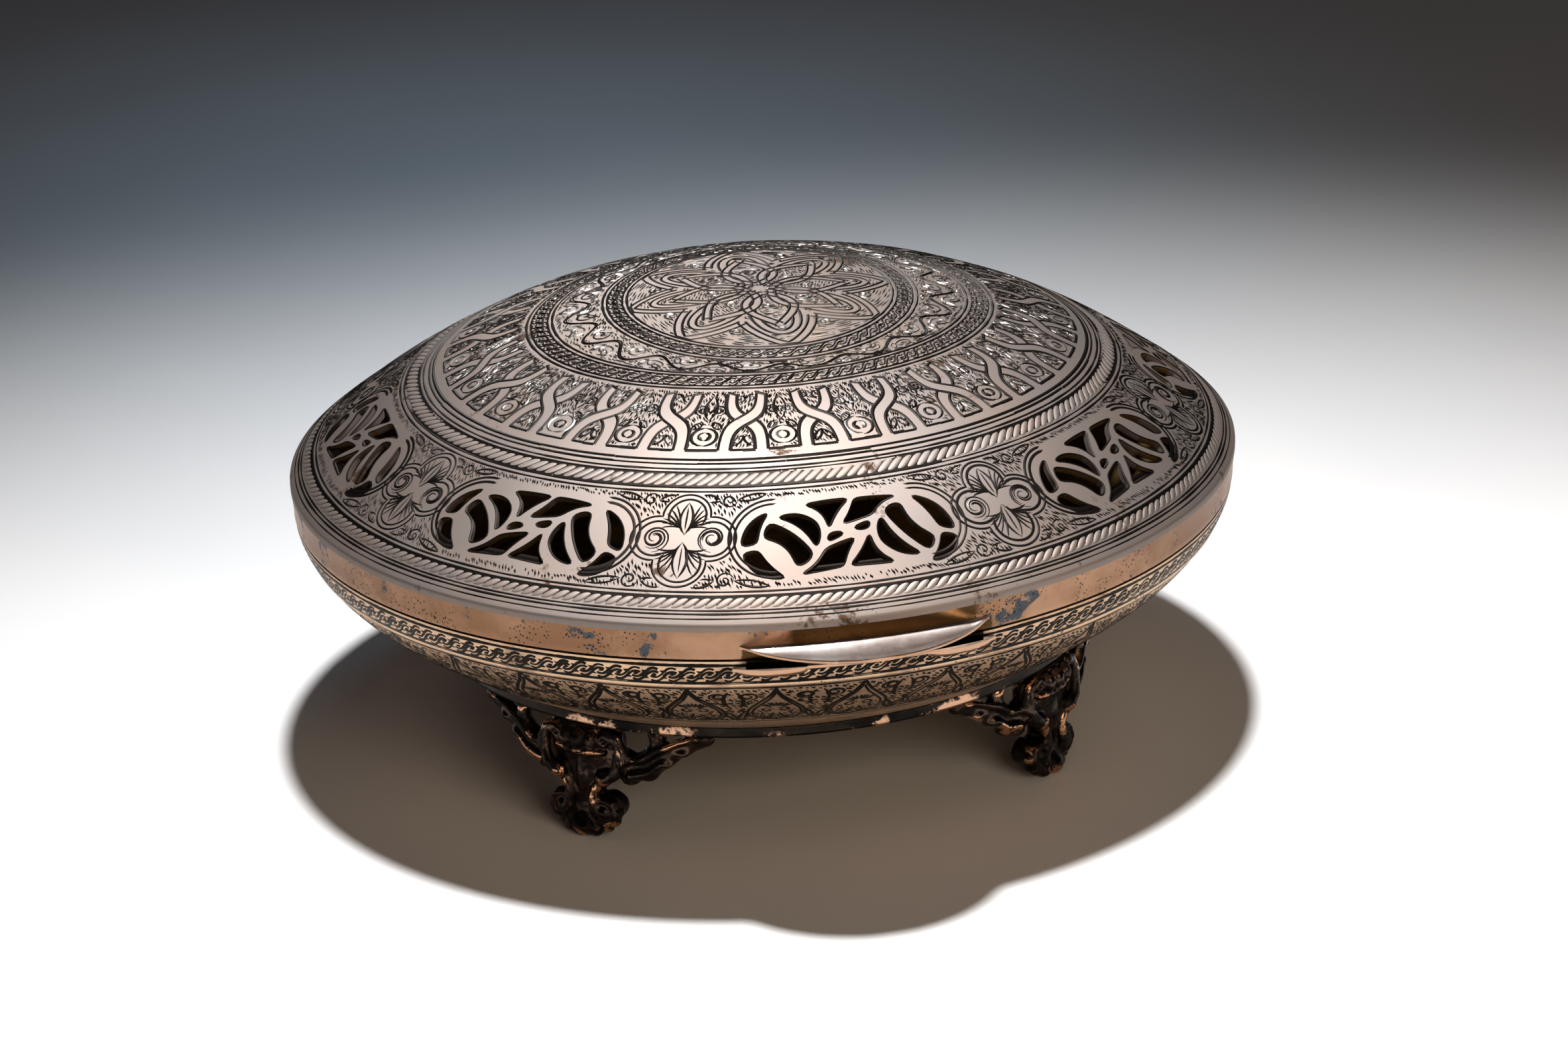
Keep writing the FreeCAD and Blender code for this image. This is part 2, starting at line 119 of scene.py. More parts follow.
def mesh_object(name: str, points: Array, faces: Sequence[Array],
                materials: Sequence[Material], slots: Sequence[int] | None = None,
                smooth_angle: float = 40.0) -> Object:
    """Make a mesh object from points in millimetres and blocks of equal-sided faces.

    Args:
        name: the object's name.
        points: the vertices, one row each.
        faces: blocks of faces, each an array of vertex numbers, one face per row.
        materials: the object's materials.
        slots: the material number of each block, or None for all the first.
        smooth_angle: edges sharper than this, in degrees, stay crisp.

    Returns:
        The object, linked into the scene.
    """
    blocks = [np.asarray(b, np.int32) for b in faces]
    mesh = bpy.data.meshes.new(name)
    mesh.vertices.add(len(points))
    mesh.vertices.foreach_set("co", (np.asarray(points, np.float32) * MM).ravel())
    sizes = np.concatenate([np.full(len(b), b.shape[1], np.int32) for b in blocks])
    mesh.loops.add(int(sizes.sum()))
    mesh.loops.foreach_set("vertex_index", np.concatenate([b.ravel() for b in blocks]))
    mesh.polygons.add(len(sizes))
    mesh.polygons.foreach_set("loop_start", joined([0], np.cumsum(sizes)[:-1]).astype(np.int32))
    mesh.polygons.foreach_set("use_smooth", np.ones(len(sizes), bool))
    if slots is not None:
        numbers = np.concatenate([np.full(len(b), s, np.int32) for b, s in zip(blocks, slots)])
        mesh.polygons.foreach_set("material_index", numbers)
    for material in materials:
        mesh.materials.append(material)
    mesh.update(calc_edges=True)
    mesh.validate()
    mesh.set_sharp_from_angle(angle=math.radians(smooth_angle))
    return placed(name, mesh)


def outwards(piece: Object) -> Object:
    """Turn every face of a closed piece outwards.

    Args:
        piece: the piece.

    Returns:
        The same piece.
    """
    work = bmesh.new()
    work.from_mesh(piece.data)
    bmesh.ops.recalc_face_normals(work, faces=work.faces)
    work.to_mesh(piece.data)
    work.free()
    return piece


def mark(piece: Object, name: str, values: Array) -> None:
    """Store a number for each vertex, which the piece's finish reads."""
    data = piece.data.attributes.new(name, "FLOAT", "POINT").data
    data.foreach_set("value", np.ravel(values).astype(np.float32))


def grid_faces(rows: int, columns: int, wrap: bool, start: int = 0, flip: bool = False) -> Array:
    """Quads of a grid of vertices that are numbered row by row.

    Args:
        rows: number of rows.
        columns: vertices in a row.
        wrap: whether each row runs into its own start.
        start: number of the first vertex.
        flip: whether the faces are turned over.

    Returns:
        The quads.
    """
    r, c = np.meshgrid(np.arange(rows - 1), np.arange(columns if wrap else columns - 1), indexing="ij")
    n = (c + 1) % columns
    quads = zipped(r * columns + c, r * columns + n, (r + 1) * columns + n, (r + 1) * columns + c)
    quads = quads.reshape(-1, 4) + start
    return quads[:, ::-1] if flip else quads


def lofted(x: Array, y: Array, z: Array) -> tuple[Array, list[Array]]:
    """Closed strip through rings of points, one ring at each x, with its end faces.

    Args:
        x: the place of each ring.
        y: the rings' widths, one row per ring.
        z: the rings' heights.

    Returns:
        The vertices, and the blocks of faces.
    """
    rows, across = y.shape
    points = zipped(np.broadcast_to(x[:, None], y.shape), y, z).reshape(-1, 3)
    ends = [np.arange(across)[None], ((rows - 1) * across + np.arange(across))[None, ::-1]]
    return points, [grid_faces(rows, across, True), *ends]


def smooth_noise(points: Array, pitch: float, seed: int) -> Array:
    """Gentle waves in space, made of a few sines, for hand-raised metal.

    Args:
        points: places in millimetres, one row each.
        pitch: wave length.
        seed: fixed seed.

    Returns:
        Values from about -1 to 1.
    """
    rng = np.random.default_rng(seed)
    total = np.zeros(points.shape[:-1])
    for _ in range(5):
        direction = rng.normal(size=3)
        direction *= math.tau / pitch / np.linalg.norm(direction) * rng.uniform(0.6, 1.3)
        total += np.sin(points @ direction + rng.uniform(0, math.tau))
    return total / 3


def welded(points: Array, blocks: Sequence[Array]) -> tuple[Array, list[Array]]:
    """Merge vertices that lie in one place.

    Args:
        points: the vertices.
        blocks: blocks of faces.

    Returns:
        The vertices that are left, and the faces on them.
    """
    _, first, number = np.unique(np.round(points, 4), axis=0, return_index=True, return_inverse=True)
    number = number.reshape(-1)
    kept = []
    for block in blocks:
        faces = number[block]
        ok = np.ones(len(faces), bool)
        for i in range(faces.shape[1]):
            for j in range(i):
                ok &= faces[:, i] != faces[:, j]
        kept.append(faces[ok])
    return points[first], kept


@dataclass
class Oval:
    """An oval form between two corners, in millimetres, long along X."""

    low: Array
    high: Array

    @property
    def radius(self) -> float:
        """Half the length."""
        return (self.high[0] - self.low[0]) / 2

    @property
    def ratio(self) -> float:
        """Width over length."""
        return (self.high[1] - self.low[1]) / (self.high[0] - self.low[0])

    @property
    def centre_y(self) -> float:
        """Where the middle lies."""
        return (self.high[1] + self.low[1]) / 2

    @property
    def tall(self) -> float:
        """Height."""
        return self.high[2] - self.low[2]

    def at(self, r: Array, theta: Array, z: Array) -> Array:
        """Places at a half length, an angle and a height."""
        x, y = r * np.cos(theta), r * np.sin(theta) * self.ratio + self.centre_y
        return zipped(x, y, np.broadcast_to(z, x.shape))

    def front(self, x: Array) -> Array:
        """Where the front lies at places along the length."""
        return self.centre_y - self.radius * self.ratio * np.sqrt(1 - (x / self.radius) ** 2)

    def spin(self, profile: Sequence[Point], columns: int) -> tuple[Array, Array]:
        """Turn a closed section of radius and height pairs into an oval ring.

        Args:
            profile: the section, clockwise as seen with the radius to the right.
            columns: number of steps round.

        Returns:
            The vertices and the quads.
        """
        rows = np.array([*profile, profile[0]], float)
        points = self.at(rows[:, :1], FRONT + circle(columns), rows[:, 1:]).reshape(-1, 3)
        points, faces = welded(points, [grid_faces(len(rows), columns, True, 0, True)])
        return points, faces[0]


@dataclass
class LidSurface(Oval):
    """Outside of the domed lid, in polar places: radius along the length, and angle."""

    turn_down: float = 1.2
    fullness: float = 2.47
    dents: float = 0.05
    sunk: float = 0.17
    ring_radii: tuple[float, ...] = (0.0, 28.9, 38.4, 43.2, 62.5, 66.9, 83.0, 88.0)
    ring_squeeze: tuple[float, ...] = (1.114, 1.114, 0.93, 0.935, 0.966, 0.972, 0.998, 1.0)

    @property
    def crease(self) -> float:
        """Height of the dome's edge."""
        return self.low[2] + self.turn_down

    @property
    def rise(self) -> float:
        """Height of the dome over its edge."""
        return self.high[2] - self.crease

    def reach(self, s: Array, theta: Array) -> Array:
        """Radius before the oval squeeze; the inner rings are drawn rounder than the rim."""
        squeeze = np.interp(s, self.ring_radii, self.ring_squeeze)
        return s / np.sqrt(np.cos(theta) ** 2 + (np.sin(theta) / squeeze) ** 2)

    def normal(self, s: Array, theta: Array) -> Array:
        """Unit normals.

        Args:
            s: ring radius along the length.
            theta: angle round the lid.

        Returns:
            One row per place.
        """
        share = self.reach(s, theta) / self.radius
        fall = self.rise * self.fullness / self.radius * share ** (self.fullness - 1)
        made = zipped(fall * np.cos(theta), fall * np.sin(theta) / self.ratio, np.ones_like(fall))
        return made / np.linalg.norm(made, axis=-1, keepdims=True)

    def point(self, s: Array, theta: Array, lift: float | Array = 0.0) -> Array:
        """Places on the dome, or off it along the normal.

        Args:
            s: ring radius along the length.
            theta: angle round the lid.
            lift: distance off the surface.

        Returns:
            One row per place, in millimetres.
        """
        s, theta = np.broadcast_arrays(np.asarray(s, float), np.asarray(theta, float))
        r = self.reach(s, theta)
        share = np.clip(r / self.radius, 0, 1)
        z = self.crease + self.rise * (1 - share ** self.fullness)
        flat = self.at(r, theta, z)
        calm = np.clip((self.radius - 3 - s) / 6, 0, 1) * np.clip(s / 12, 0.2, 1)
        off_edge = np.clip((self.radius - 2 - s) / 5, 0, 1)
        sink = self.dents * calm * (smooth_noise(flat, 23.0, 3) - 1.7) - self.sunk * off_edge
        return flat + self.normal(s, theta) * (sink + lift)[..., None]

    def round(self, s: float) -> float:
        """Mean length round the lid at a ring radius."""
        return math.tau * s * (1 + self.ratio) / 2

    def slope(self, s: float) -> float:
        """Length up the slope for one millimetre of ring radius."""
        fall = self.rise * self.fullness / self.radius * (s / self.radius) ** (self.fullness - 1)
        return math.hypot(1.0, fall)


@dataclass
class BowlSurface(Oval):
    """Outside of the bowl, by share of the way from the mouth down to the base, and angle."""

    base_radius: float
    fullness: float = 1.73
    dents: float = 0.05

    def reach(self, s: Array) -> Array:
        """Half the length at a share of the way down."""
        return self.radius - (self.radius - self.base_radius) * s ** self.fullness

    def narrowing(self, s: Array) -> Array:
        """How fast half the length shrinks."""
        return (self.radius - self.base_radius) * self.fullness * s ** (self.fullness - 1)

    def normal(self, s: Array, theta: Array) -> Array:
        """Unit normals."""
        made = zipped(np.cos(theta), np.sin(theta) / self.ratio, -self.narrowing(s) / self.tall)
        return made / np.linalg.norm(made, axis=-1, keepdims=True)

    def point(self, s: Array, theta: Array, lift: float | Array = 0.0) -> Array:
        """Places on the bowl, or off it along the normal.

        Args:
            s: share of the way down.
            theta: angle round the bowl.
            lift: distance off the surface.

        Returns:
            One row per place, in millimetres.
        """
        s, theta = np.broadcast_arrays(np.asarray(s, float), np.asarray(theta, float))
        flat = self.at(self.reach(s), theta, self.high[2] - self.tall * s)
        calm = np.clip(s / 0.1, 0, 1) * np.clip((1 - s) / 0.1, 0, 1)
        sink = self.dents * calm * (smooth_noise(flat, 19.0, 5) - 1.7)
        return flat + self.normal(s, theta) * (sink + lift)[..., None]

    def round(self, s: float) -> float:
        """Mean length round the bowl at a share of the way down."""
        return math.tau * self.reach(s) * (1 + self.ratio) / 2

    def slope(self, s: float) -> float:
        """Length down the wall for one whole share."""
        return math.hypot(self.tall, self.narrowing(s))


Surface = LidSurface | BowlSurface


@dataclass
class Sketch:
    """Burin strokes of one ornament, drawn flat in millimetres: along the band, and across it."""

    strokes: list[tuple[Array, float, bool]] = field(default_factory=list)
    keep: Keep | None = None

    def add(self, path: Array, width: float = 0.24, taper: bool = True) -> None:
        """Add a stroke, cut where the sketch's keep test says no.

        Args:
            path: points of the stroke, one row each.
            width: full width of the cut.
            taper: whether the ends thin out.
        """
        path = np.asarray(path, float)
        if self.keep is None:
            self.strokes.append((path, width, taper))
            return
        for start, end in self.runs(self.keep(path[:, 0], path[:, 1])):
            if end - start > 2:
                self.strokes.append((path[start:end], width, taper))

    @staticmethod
    def runs(kept: Array) -> Array:
        """First and past-the-last number of each run of kept points."""
        return np.flatnonzero(np.diff(joined([0], kept.astype(int), [0]))).reshape(-1, 2)

    def bow(self, start: Point, end: Point, rise: float = 0.0, width: float = 0.24, steps: int = 7,
            taper: bool = True) -> None:
        """Add a shallow arc, which rises to the left of its chord.

        Args:
            start: its first point.
            end: its last point.
            rise: how far its middle stands off the chord.
            width: full width of the cut.
            steps: number of points.
            taper: whether the ends thin out.
        """
        t = np.linspace(0, 1, steps)[:, None]
        a, b = np.array(start), np.array(end)
        left = np.array([-(b - a)[1], (b - a)[0]]) / max(np.linalg.norm(b - a), 1e-6)
        self.add(a + (b - a) * t + left * rise * 4 * t * (1 - t), width, taper)

    def curl(self, centre: Point, outer: float, inner: float, start: float, turns: float,
             width: float = 0.24) -> None:
        """Add a spiral.

        Args:
            centre: its eye.
            outer: its first radius.
            inner: its last radius.
            start: its first angle, in degrees.
            turns: how often it turns.
            width: full width of the cut.
        """
        t = np.linspace(0, 1, max(8, int(abs(turns) * 18)))
        a = math.radians(start) + math.tau * turns * t
        r = outer + (inner - outer) * t
        self.add(zipped(centre[0] + r * np.cos(a), centre[1] + r * np.sin(a)), width)

    def leaf(self, base: Point, tip: Point, belly: float, veins: int = 0, width: float = 0.26) -> None:
        """Add a pointed leaf with slanted veins.

        Args:
            base: its stalk end.
            tip: its point.
            belly: half its width.
            veins: number of veins on each side.
            width: full width of the outline's cuts.
        """
        self.bow(base, tip, belly, width, 9)
        self.bow(base, tip, -belly, width, 9)
        a, b = np.array(base), np.array(tip)
        along = b - a
        left = np.array([-along[1], along[0]]) / max(np.linalg.norm(along), 1e-6)
        for k in range(veins):
            t = 0.25 + 0.55 * k / max(veins - 1, 1)
            room = belly * 4 * t * (1 - t) * 0.85
            for side in (-1, 1):
                self.bow(tuple(a + along * (t - 0.1)), tuple(a + along * t + left * side * room), 0, 0.16, 4)

    def contour(self, ring: Array, width: float = 0.26) -> None:
        """Add a closed outline."""
        self.add(joined(ring, ring[:1]), width, False)

    def hatch(self, low: Point, high: Point, angle: float, pitch: float, keep: Keep, wave: float = 0.0,
              width: float = 0.17, dash: float = 2.4, seed: int = 1) -> None:
        """Fill an area with short parallel strokes.

        Args:
            low: lowest corner of the area.
            high: highest corner.
            angle: direction of the strokes, in degrees.
            pitch: distance between strokes.
            keep: which points are to be filled.
            wave: how far the strokes swing to the side.
            width: full width of the cuts.
            dash: length of a stroke.
            seed: fixed seed of the dashes.
        """
        rng = np.random.default_rng(seed)
        way = np.array([math.cos(math.radians(angle)), math.sin(math.radians(angle))])
        side = np.array([-way[1], way[0]])
        middle = (np.array(low) + np.array(high)) / 2
        half = np.linalg.norm(np.array(high) - np.array(low)) / 2
        steps = np.arange(-half, half, 0.22)
        for offset in np.arange(-half, half, pitch):
            swing = wave * np.sin(steps * 1.3 + offset * 0.9 + rng.uniform(0, 0.6))
            path = middle + steps[:, None] * way + (offset + swing)[:, None] * side
            kept = ((path >= low) & (path <= high)).all(1) & keep(path[:, 0], path[:, 1])
            kept &= np.modf((steps + half + rng.uniform(0, dash)) / dash)[0] > 0.13
            for start, end in self.runs(kept):
                if end - start > 3:
                    picks = np.unique(np.linspace(start, end - 1, max(3, (end - start) // 3)).astype(int))
                    self.strokes.append((path[picks], width * rng.uniform(0.7, 1.2), True))


@dataclass
class Band:
    """A ring of repeats on a surface, between two ring places."""

    surface: Surface
    inner: float
    outer: float
    count: int
    first: float = FRONT

    @property
    def pitch(self) -> float:
        """Length of one repeat."""
        return self.surface.round((self.inner + self.outer) / 2) / self.count

    @property
    def height(self) -> float:
        """Length across the band."""
        return (self.outer - self.inner) * self.surface.slope((self.inner + self.outer) / 2)

    def place(self, u: Array, v: Array) -> tuple[Array, Array]:
        """Ring place and angle of a flat point of the first repeat."""
        s = self.inner + (self.outer - self.inner) * v / self.height
        return s, self.first + u / self.pitch * math.tau / self.count


@dataclass
class Engraving:
    """All the burin cuts on one surface, gathered into a mesh of fine dark lines.

    A burin of 2 cuts twice as wide as drawn, and sparkle is the share of the tapered strokes that glint.
    """

    surface: Surface
    depth: float = 0.075
    seed: int = 7
    burin: float = 1.0
    sparkle: float = 0.0
    points: list[Array] = field(default_factory=list)
    quads: list[Array] = field(default_factory=list)
    glints: list[Array] = field(default_factory=list)
    total: int = 0

    def __post_init__(self) -> None:
        """Start the hand's errors."""
        self.rng = np.random.default_rng(self.seed)

    def cut(self, s: Array, theta: Array, half: Array, closed: bool = False,
            sparkle: float = 0.0) -> None:
        """Add strokes that have the same number of points.

        Args:
            s: ring places, one row per stroke.
            theta: angles, one row per stroke.
            half: half widths, as s.
            closed: whether each stroke runs into its own start.
            sparkle: how many of the strokes have a bright side, from 0 to 1.
        """
        count, steps = s.shape
        on = self.surface.point(s, theta)
        up = self.surface.normal(s, theta)
        ahead = np.roll(on, -1, 1) - np.roll(on, 1, 1) if closed else np.gradient(on, axis=1)
        side = np.cross(up, ahead)
        side /= np.maximum(np.linalg.norm(side, axis=-1, keepdims=True), 1e-9)
        sunk = on - up * self.depth * 0.6
        reach = side * half[..., None] * 1.6 * self.burin
        rows = np.stack([sunk - reach, on + up * self.depth, sunk + reach], 2)
        base = self.total + np.arange(count)[:, None, None] * steps * 3
        i = np.arange(steps if closed else steps - 1)
        j = (i + 1) % steps
        ring = [zipped(i * 3 + a, j * 3 + a, j * 3 + b, i * 3 + b) for a, b in ((0, 1), (1, 2), (2, 0))]
        quads = np.concatenate(ring)[None] + base
        shine = np.clip(self.rng.uniform(0, 1, (count, 1, 1)) + sparkle - 1, 0, 0.3) / 0.3
        glint = np.broadcast_to(shine * np.array([1.0, 0.3, 0.6]), (count, steps, 3))
        self.points.append(rows.reshape(-1, 3))
        self.quads.append(quads.reshape(-1, 4)[:, ::-1])
        self.glints.append(glint.reshape(-1))
        self.total += count * steps * 3

    def ring(self, s: float, width: float) -> None:
        """Add a line all the way round.

        Args:
            s: ring place.
            width: full width of the cut.
        """
        theta = circle(RING_STEPS)[None]
        wobble = 1 + 0.25 * np.sin(theta * 37 + s) * np.sin(theta * 11)
        self.cut(np.full_like(theta, s), theta, wobble * width / 2, True)

    def repeat(self, band: Band, sketch: Sketch, mirror_odd: bool = False, error: float = 0.07) -> None:
        """Add a sketch to every repeat of a band.

        Args:
            band: where it goes.
            sketch: what is drawn.
            mirror_odd: whether each second repeat is mirrored.
            error: how far the hand strays, in millimetres.
        """
        turns = np.arange(band.count, dtype=float)
        sign = np.where((turns % 2 == 1) & mirror_odd, -1.0, 1.0)[:, None]
        for path, width, taper in sketch.strokes:
            steps = len(path)
            stray = self.rng.normal(0, error, (len(turns), 2))
            u = sign * path[None, :, 0] + stray[:, :1]
            v = np.broadcast_to(path[None, :, 1], u.shape) + stray[:, 1:]
            s, theta = band.place(u, v)
            theta = theta + turns[:, None] * math.tau / band.count
            t = np.linspace(0, 1, steps)
            swell = 0.12 + 0.88 * np.sqrt(np.sin(np.pi * t).clip(0, 1)) if taper else np.ones(steps)
            half = width / 2 * swell[None] * self.rng.uniform(0.8, 1.2, (len(turns), 1))
            self.cut(np.maximum(s, 1e-3), theta, half, False, self.sparkle if taper else 0.0)

    def make(self, name: str, material: Material) -> Object:
        """Turn the cuts into an object.

        Args:
            name: its name.
            material: its finish.

        Returns:
            The object.
        """
        made = mesh_object(name, np.concatenate(self.points), [np.concatenate(self.quads)], [material], None, 30.0)
        mark(made, "glint", np.concatenate(self.glints))
        return made


@dataclass
class Wiring:
    """Adds nodes to a node tree and joins them."""

    tree: Tree

    def feed(self, node: Node, inputs: dict) -> None:
        """Give inputs of a node a value or another node's output.

        Args:
            node: the node.
            inputs: what each input gets, by name or number.
        """
        for key, value in inputs.items():
            if isinstance(value, Socket):
                self.tree.links.new(value, node.inputs[key])
            else:
                node.inputs[key].default_value = value

    def node(self, kind: str, settings: dict | None = None, inputs: dict | None = None) -> Node:
        """Add a node.

        Args:
            kind: Blender's name of the node's type.
            settings: the node's own settings.
            inputs: a value, or another node's output, for each input, by name or number.

        Returns:
            The node.
        """
        made = self.tree.nodes.new(kind)
        for key, value in (settings or {}).items():
            setattr(made, key, value)
        self.feed(made, inputs or {})
        return made

    def noise(self, place: Socket, scale: object, detail: float, **more: float) -> Socket:
        """Add a noise texture and give its value."""
        inputs = {"Vector": place, "Scale": scale, "Detail": detail, **more}
        return self.node("ShaderNodeTexNoise", None, inputs).outputs[0]

    def math(self, operation: str, a: object, b: object = 0.0) -> Socket:
        """Add a Math node and give its output."""
        return self.node("ShaderNodeMath", {"operation": operation}, {0: a, 1: b}).outputs[0]

    def blend(self, share: object, first: object, second: object) -> Socket:
        """Mix two colours and give the result."""
        ends = {number: value if isinstance(value, Socket) else (*value, 1.0)
                for number, value in ((6, first), (7, second))}
        return self.node("ShaderNodeMix", {"data_type": "RGBA"}, {0: share, **ends}).outputs[2]

    def span(self, value: object, low: object, high: object, to_low: float = 0.0,
             to_high: float = 1.0) -> Socket:
        """Map a value smoothly from one span to another and give the result."""
        return self.node("ShaderNodeMapRange", {"interpolation_type": "SMOOTHSTEP"},
                         {0: value, 1: low, 2: high, 3: to_low, 4: to_high}).outputs[0]


def blank_material(name: str) -> tuple[Material, Wiring, Node]:
    """Start a material.

    Args:
        name: its name.

    Returns:
        The material, its wiring and its shader.
    """
    material = bpy.data.materials.new(name)
    material.use_nodes = True
    return material, Wiring(material.node_tree), material.node_tree.nodes["Principled BSDF"]


class Effects:
    """Shader groups that several metals share."""

    def __init__(self) -> None:
        """Build the groups once."""
        self.patina = self._patina()
        self.pits = self._pits()
        self.scratches = self._scratches()

    @staticmethod
    def _group(name: str, inputs: Sequence[str], output: str) -> tuple[Wiring, Node, Node]:
        """Start a group.

        Args:
            name: the group's name.
            inputs: names of its number inputs, after its Vector.
            output: name of its number output.

        Returns:
            The wiring, the input node and the output node.
        """
        tree = bpy.data.node_groups.new(name, "ShaderNodeTree")
        sockets = [("Vector", "INPUT", "Vector"), *((label, "INPUT", "Float") for label in inputs)]
        for label, way, kind in [*sockets, (output, "OUTPUT", "Float")]:
            tree.interface.new_socket(label, in_out=way, socket_type="NodeSocket" + kind)
        return Wiring(tree), tree.nodes.new("NodeGroupInput"), tree.nodes.new("NodeGroupOutput")

    def _patina(self) -> Tree:
        """Cloudy patches with broken edges.

        Returns:
            The group.
        """
        w, start, end = self._group("patina_patches", ("Scale", "Cover", "Softness"), "Mask")
        place, scale = start.outputs["Vector"], start.outputs["Scale"]
        big = w.noise(place, scale, 5.0, Roughness=0.62, Distortion=0.4)
        fine = w.noise(place, w.math("MULTIPLY", scale, 5.7), 4.0, Roughness=0.7)
        mixed = w.math("ADD", w.math("MULTIPLY", big, 0.74), w.math("MULTIPLY", fine, 0.26))
        edge = w.math("SUBTRACT", 0.66, w.math("MULTIPLY", start.outputs["Cover"], 0.32))
        low = w.math("SUBTRACT", edge, start.outputs["Softness"])
        high = w.math("ADD", edge, start.outputs["Softness"])
        w.feed(end, {"Mask": w.span(mixed, low, high)})
        return w.tree

    def _pits(self) -> Tree:
        """Small corrosion pits, in swarms.

        Returns:
            The group.
        """
        w, start, end = self._group("corrosion_pits", ("Scale", "Cover"), "Mask")
        place, scale = start.outputs["Vector"], start.outputs["Scale"]
        cells = w.node("ShaderNodeTexVoronoi", None, {"Vector": place, "Scale": scale})
        swarm = w.noise(place, w.math("MULTIPLY", scale, 0.06), 3.0)
        edge = w.math("SUBTRACT", 0.68, w.math("MULTIPLY", start.outputs["Cover"], 0.3))
        gate = w.span(swarm, edge, w.math("ADD", edge, 0.1))
        spot = w.span(cells.outputs["Distance"], 0.16, 0.34, 1.0, 0.0)
        w.feed(end, {"Mask": w.math("MULTIPLY", gate, spot)})
        return w.tree

    def _scratches(self) -> Tree:
        """Fine polishing scratches that cross each other.

        Returns:
            The group.
        """
        w, start, end = self._group("polishing_scratches", ("Scale",), "Height")
        total = None
        for turn in (0.5, 1.9, 2.6):
            inputs = {"Vector": start.outputs["Vector"], "Scale": (1.0, 24.0, 3.0), "Rotation": (0.3 * turn, 0.2, turn)}
            lie = w.node("ShaderNodeMapping", None, inputs)
            fine = w.noise(lie.outputs[0], start.outputs["Scale"], 2.0)
            total = fine if total is None else w.math("ADD", total, fine)
        w.feed(end, {"Height": w.math("MULTIPLY", total, 0.333)})
        return w.tree


@dataclass(frozen=True)
class Metal:
    """A worn metal: clean colour, warm bloom, tarnish in patches, pits and scratches."""

    name: str
    clean: Colour
    bloom: Colour
    tarnish: Colour
    pit: Colour
    gloss: float = 0.24
    dull: float = 0.5
    bloom_scale: float = 60.0
    bloom_cover: float = 0.5
    patch_scale: float = 45.0
    patch_cover: float = 0.4
    patch_soft: float = 0.07
    pit_scale: float = 1400.0
    pit_cover: float = 0.3
    scratch_scale: float = 420.0
    relief: float = 0.00006
    wear_and_shade_colour: Colour | None = None
    wear_and_shade_from: float = 0.45

    def build(self, effects: Effects) -> Material:
        """Make the material.

        Args:
            effects: the shared shader groups.

        Returns:
            The material. With a wear-and-shade colour it reads the mesh's wear_and_shade attribute: rubbed-through
            metal on most pieces, painted shade on the plain band.
        """
        material, w, shader = blank_material(self.name)
        place = w.node("ShaderNodeTexCoord").outputs["Object"]

        def effect(tree: Tree, **values: float) -> Socket:
            """Place a shared group and give its output."""
            made = w.node("ShaderNodeGroup", {"node_tree": tree}, {"Vector": place, **values})
            return made.outputs[0]

        bloom = effect(effects.patina, Scale=self.bloom_scale, Cover=self.bloom_cover, Softness=0.12)
        patch = effect(effects.patina, Scale=self.patch_scale, Cover=self.patch_cover, Softness=self.patch_soft)
        pits = effect(effects.pits, Scale=self.pit_scale, Cover=self.pit_cover)
        lines = effect(effects.scratches, Scale=self.scratch_scale)
        colour = w.blend(bloom, self.clean, self.bloom)
        colour = w.blend(patch, colour, self.tarnish)
        dullness = w.math("ADD", w.span(patch, 0.0, 1.0, self.gloss, self.dull), w.math("MULTIPLY", lines, 0.08))
        # The wear_and_shade mark is rubbed-through metal on most pieces; on the plain band it is painted shade under
        # the thumb piece and a dark front patch.
        if self.wear_and_shade_colour is not None:
            wear_and_shade = w.node("ShaderNodeAttribute", {"attribute_name": "wear_and_shade"}).outputs["Fac"]
            broken = w.math("ADD", wear_and_shade, w.math("MULTIPLY", w.math("SUBTRACT", bloom, 0.5), 0.5))
            wear_and_shade_mask = w.span(broken, self.wear_and_shade_from, self.wear_and_shade_from + 0.25)
            colour = w.blend(wear_and_shade_mask, colour, self.wear_and_shade_colour)
            dullness = w.math("SUBTRACT", dullness, w.math("MULTIPLY", wear_and_shade_mask, 0.12))
        colour = w.blend(pits, colour, self.pit)
        height = w.math("SUBTRACT", w.math("MULTIPLY", lines, 0.25), pits)
        bump = w.node("ShaderNodeBump", None, {"Strength": 0.6, "Distance": self.relief, "Height": height})
        w.feed(shader, {"Base Color": colour, "Roughness": dullness, "Normal": bump.outputs[0], "Metallic": 1.0})
        return material


@dataclass(frozen=True)
class CutLine:
    """Blackened burin cuts with bright glints along one side."""

    name: str
    black: Colour
    bright: Colour

    def build(self) -> Material:
        """Make the material.

        Returns:
            The material, which reads the mesh's glint attribute.
        """
        material, w, shader = blank_material(self.name)
        glint = w.node("ShaderNodeAttribute", {"attribute_name": "glint"}).outputs["Fac"]
        flash = w.span(glint, 0.25, 0.8)
        w.feed(shader, {"Base Color": w.blend(flash, self.black, self.bright),
                        "Roughness": w.span(flash, 0.0, 1.0, 0.5, 0.3), "Metallic": 1.0})
        return material


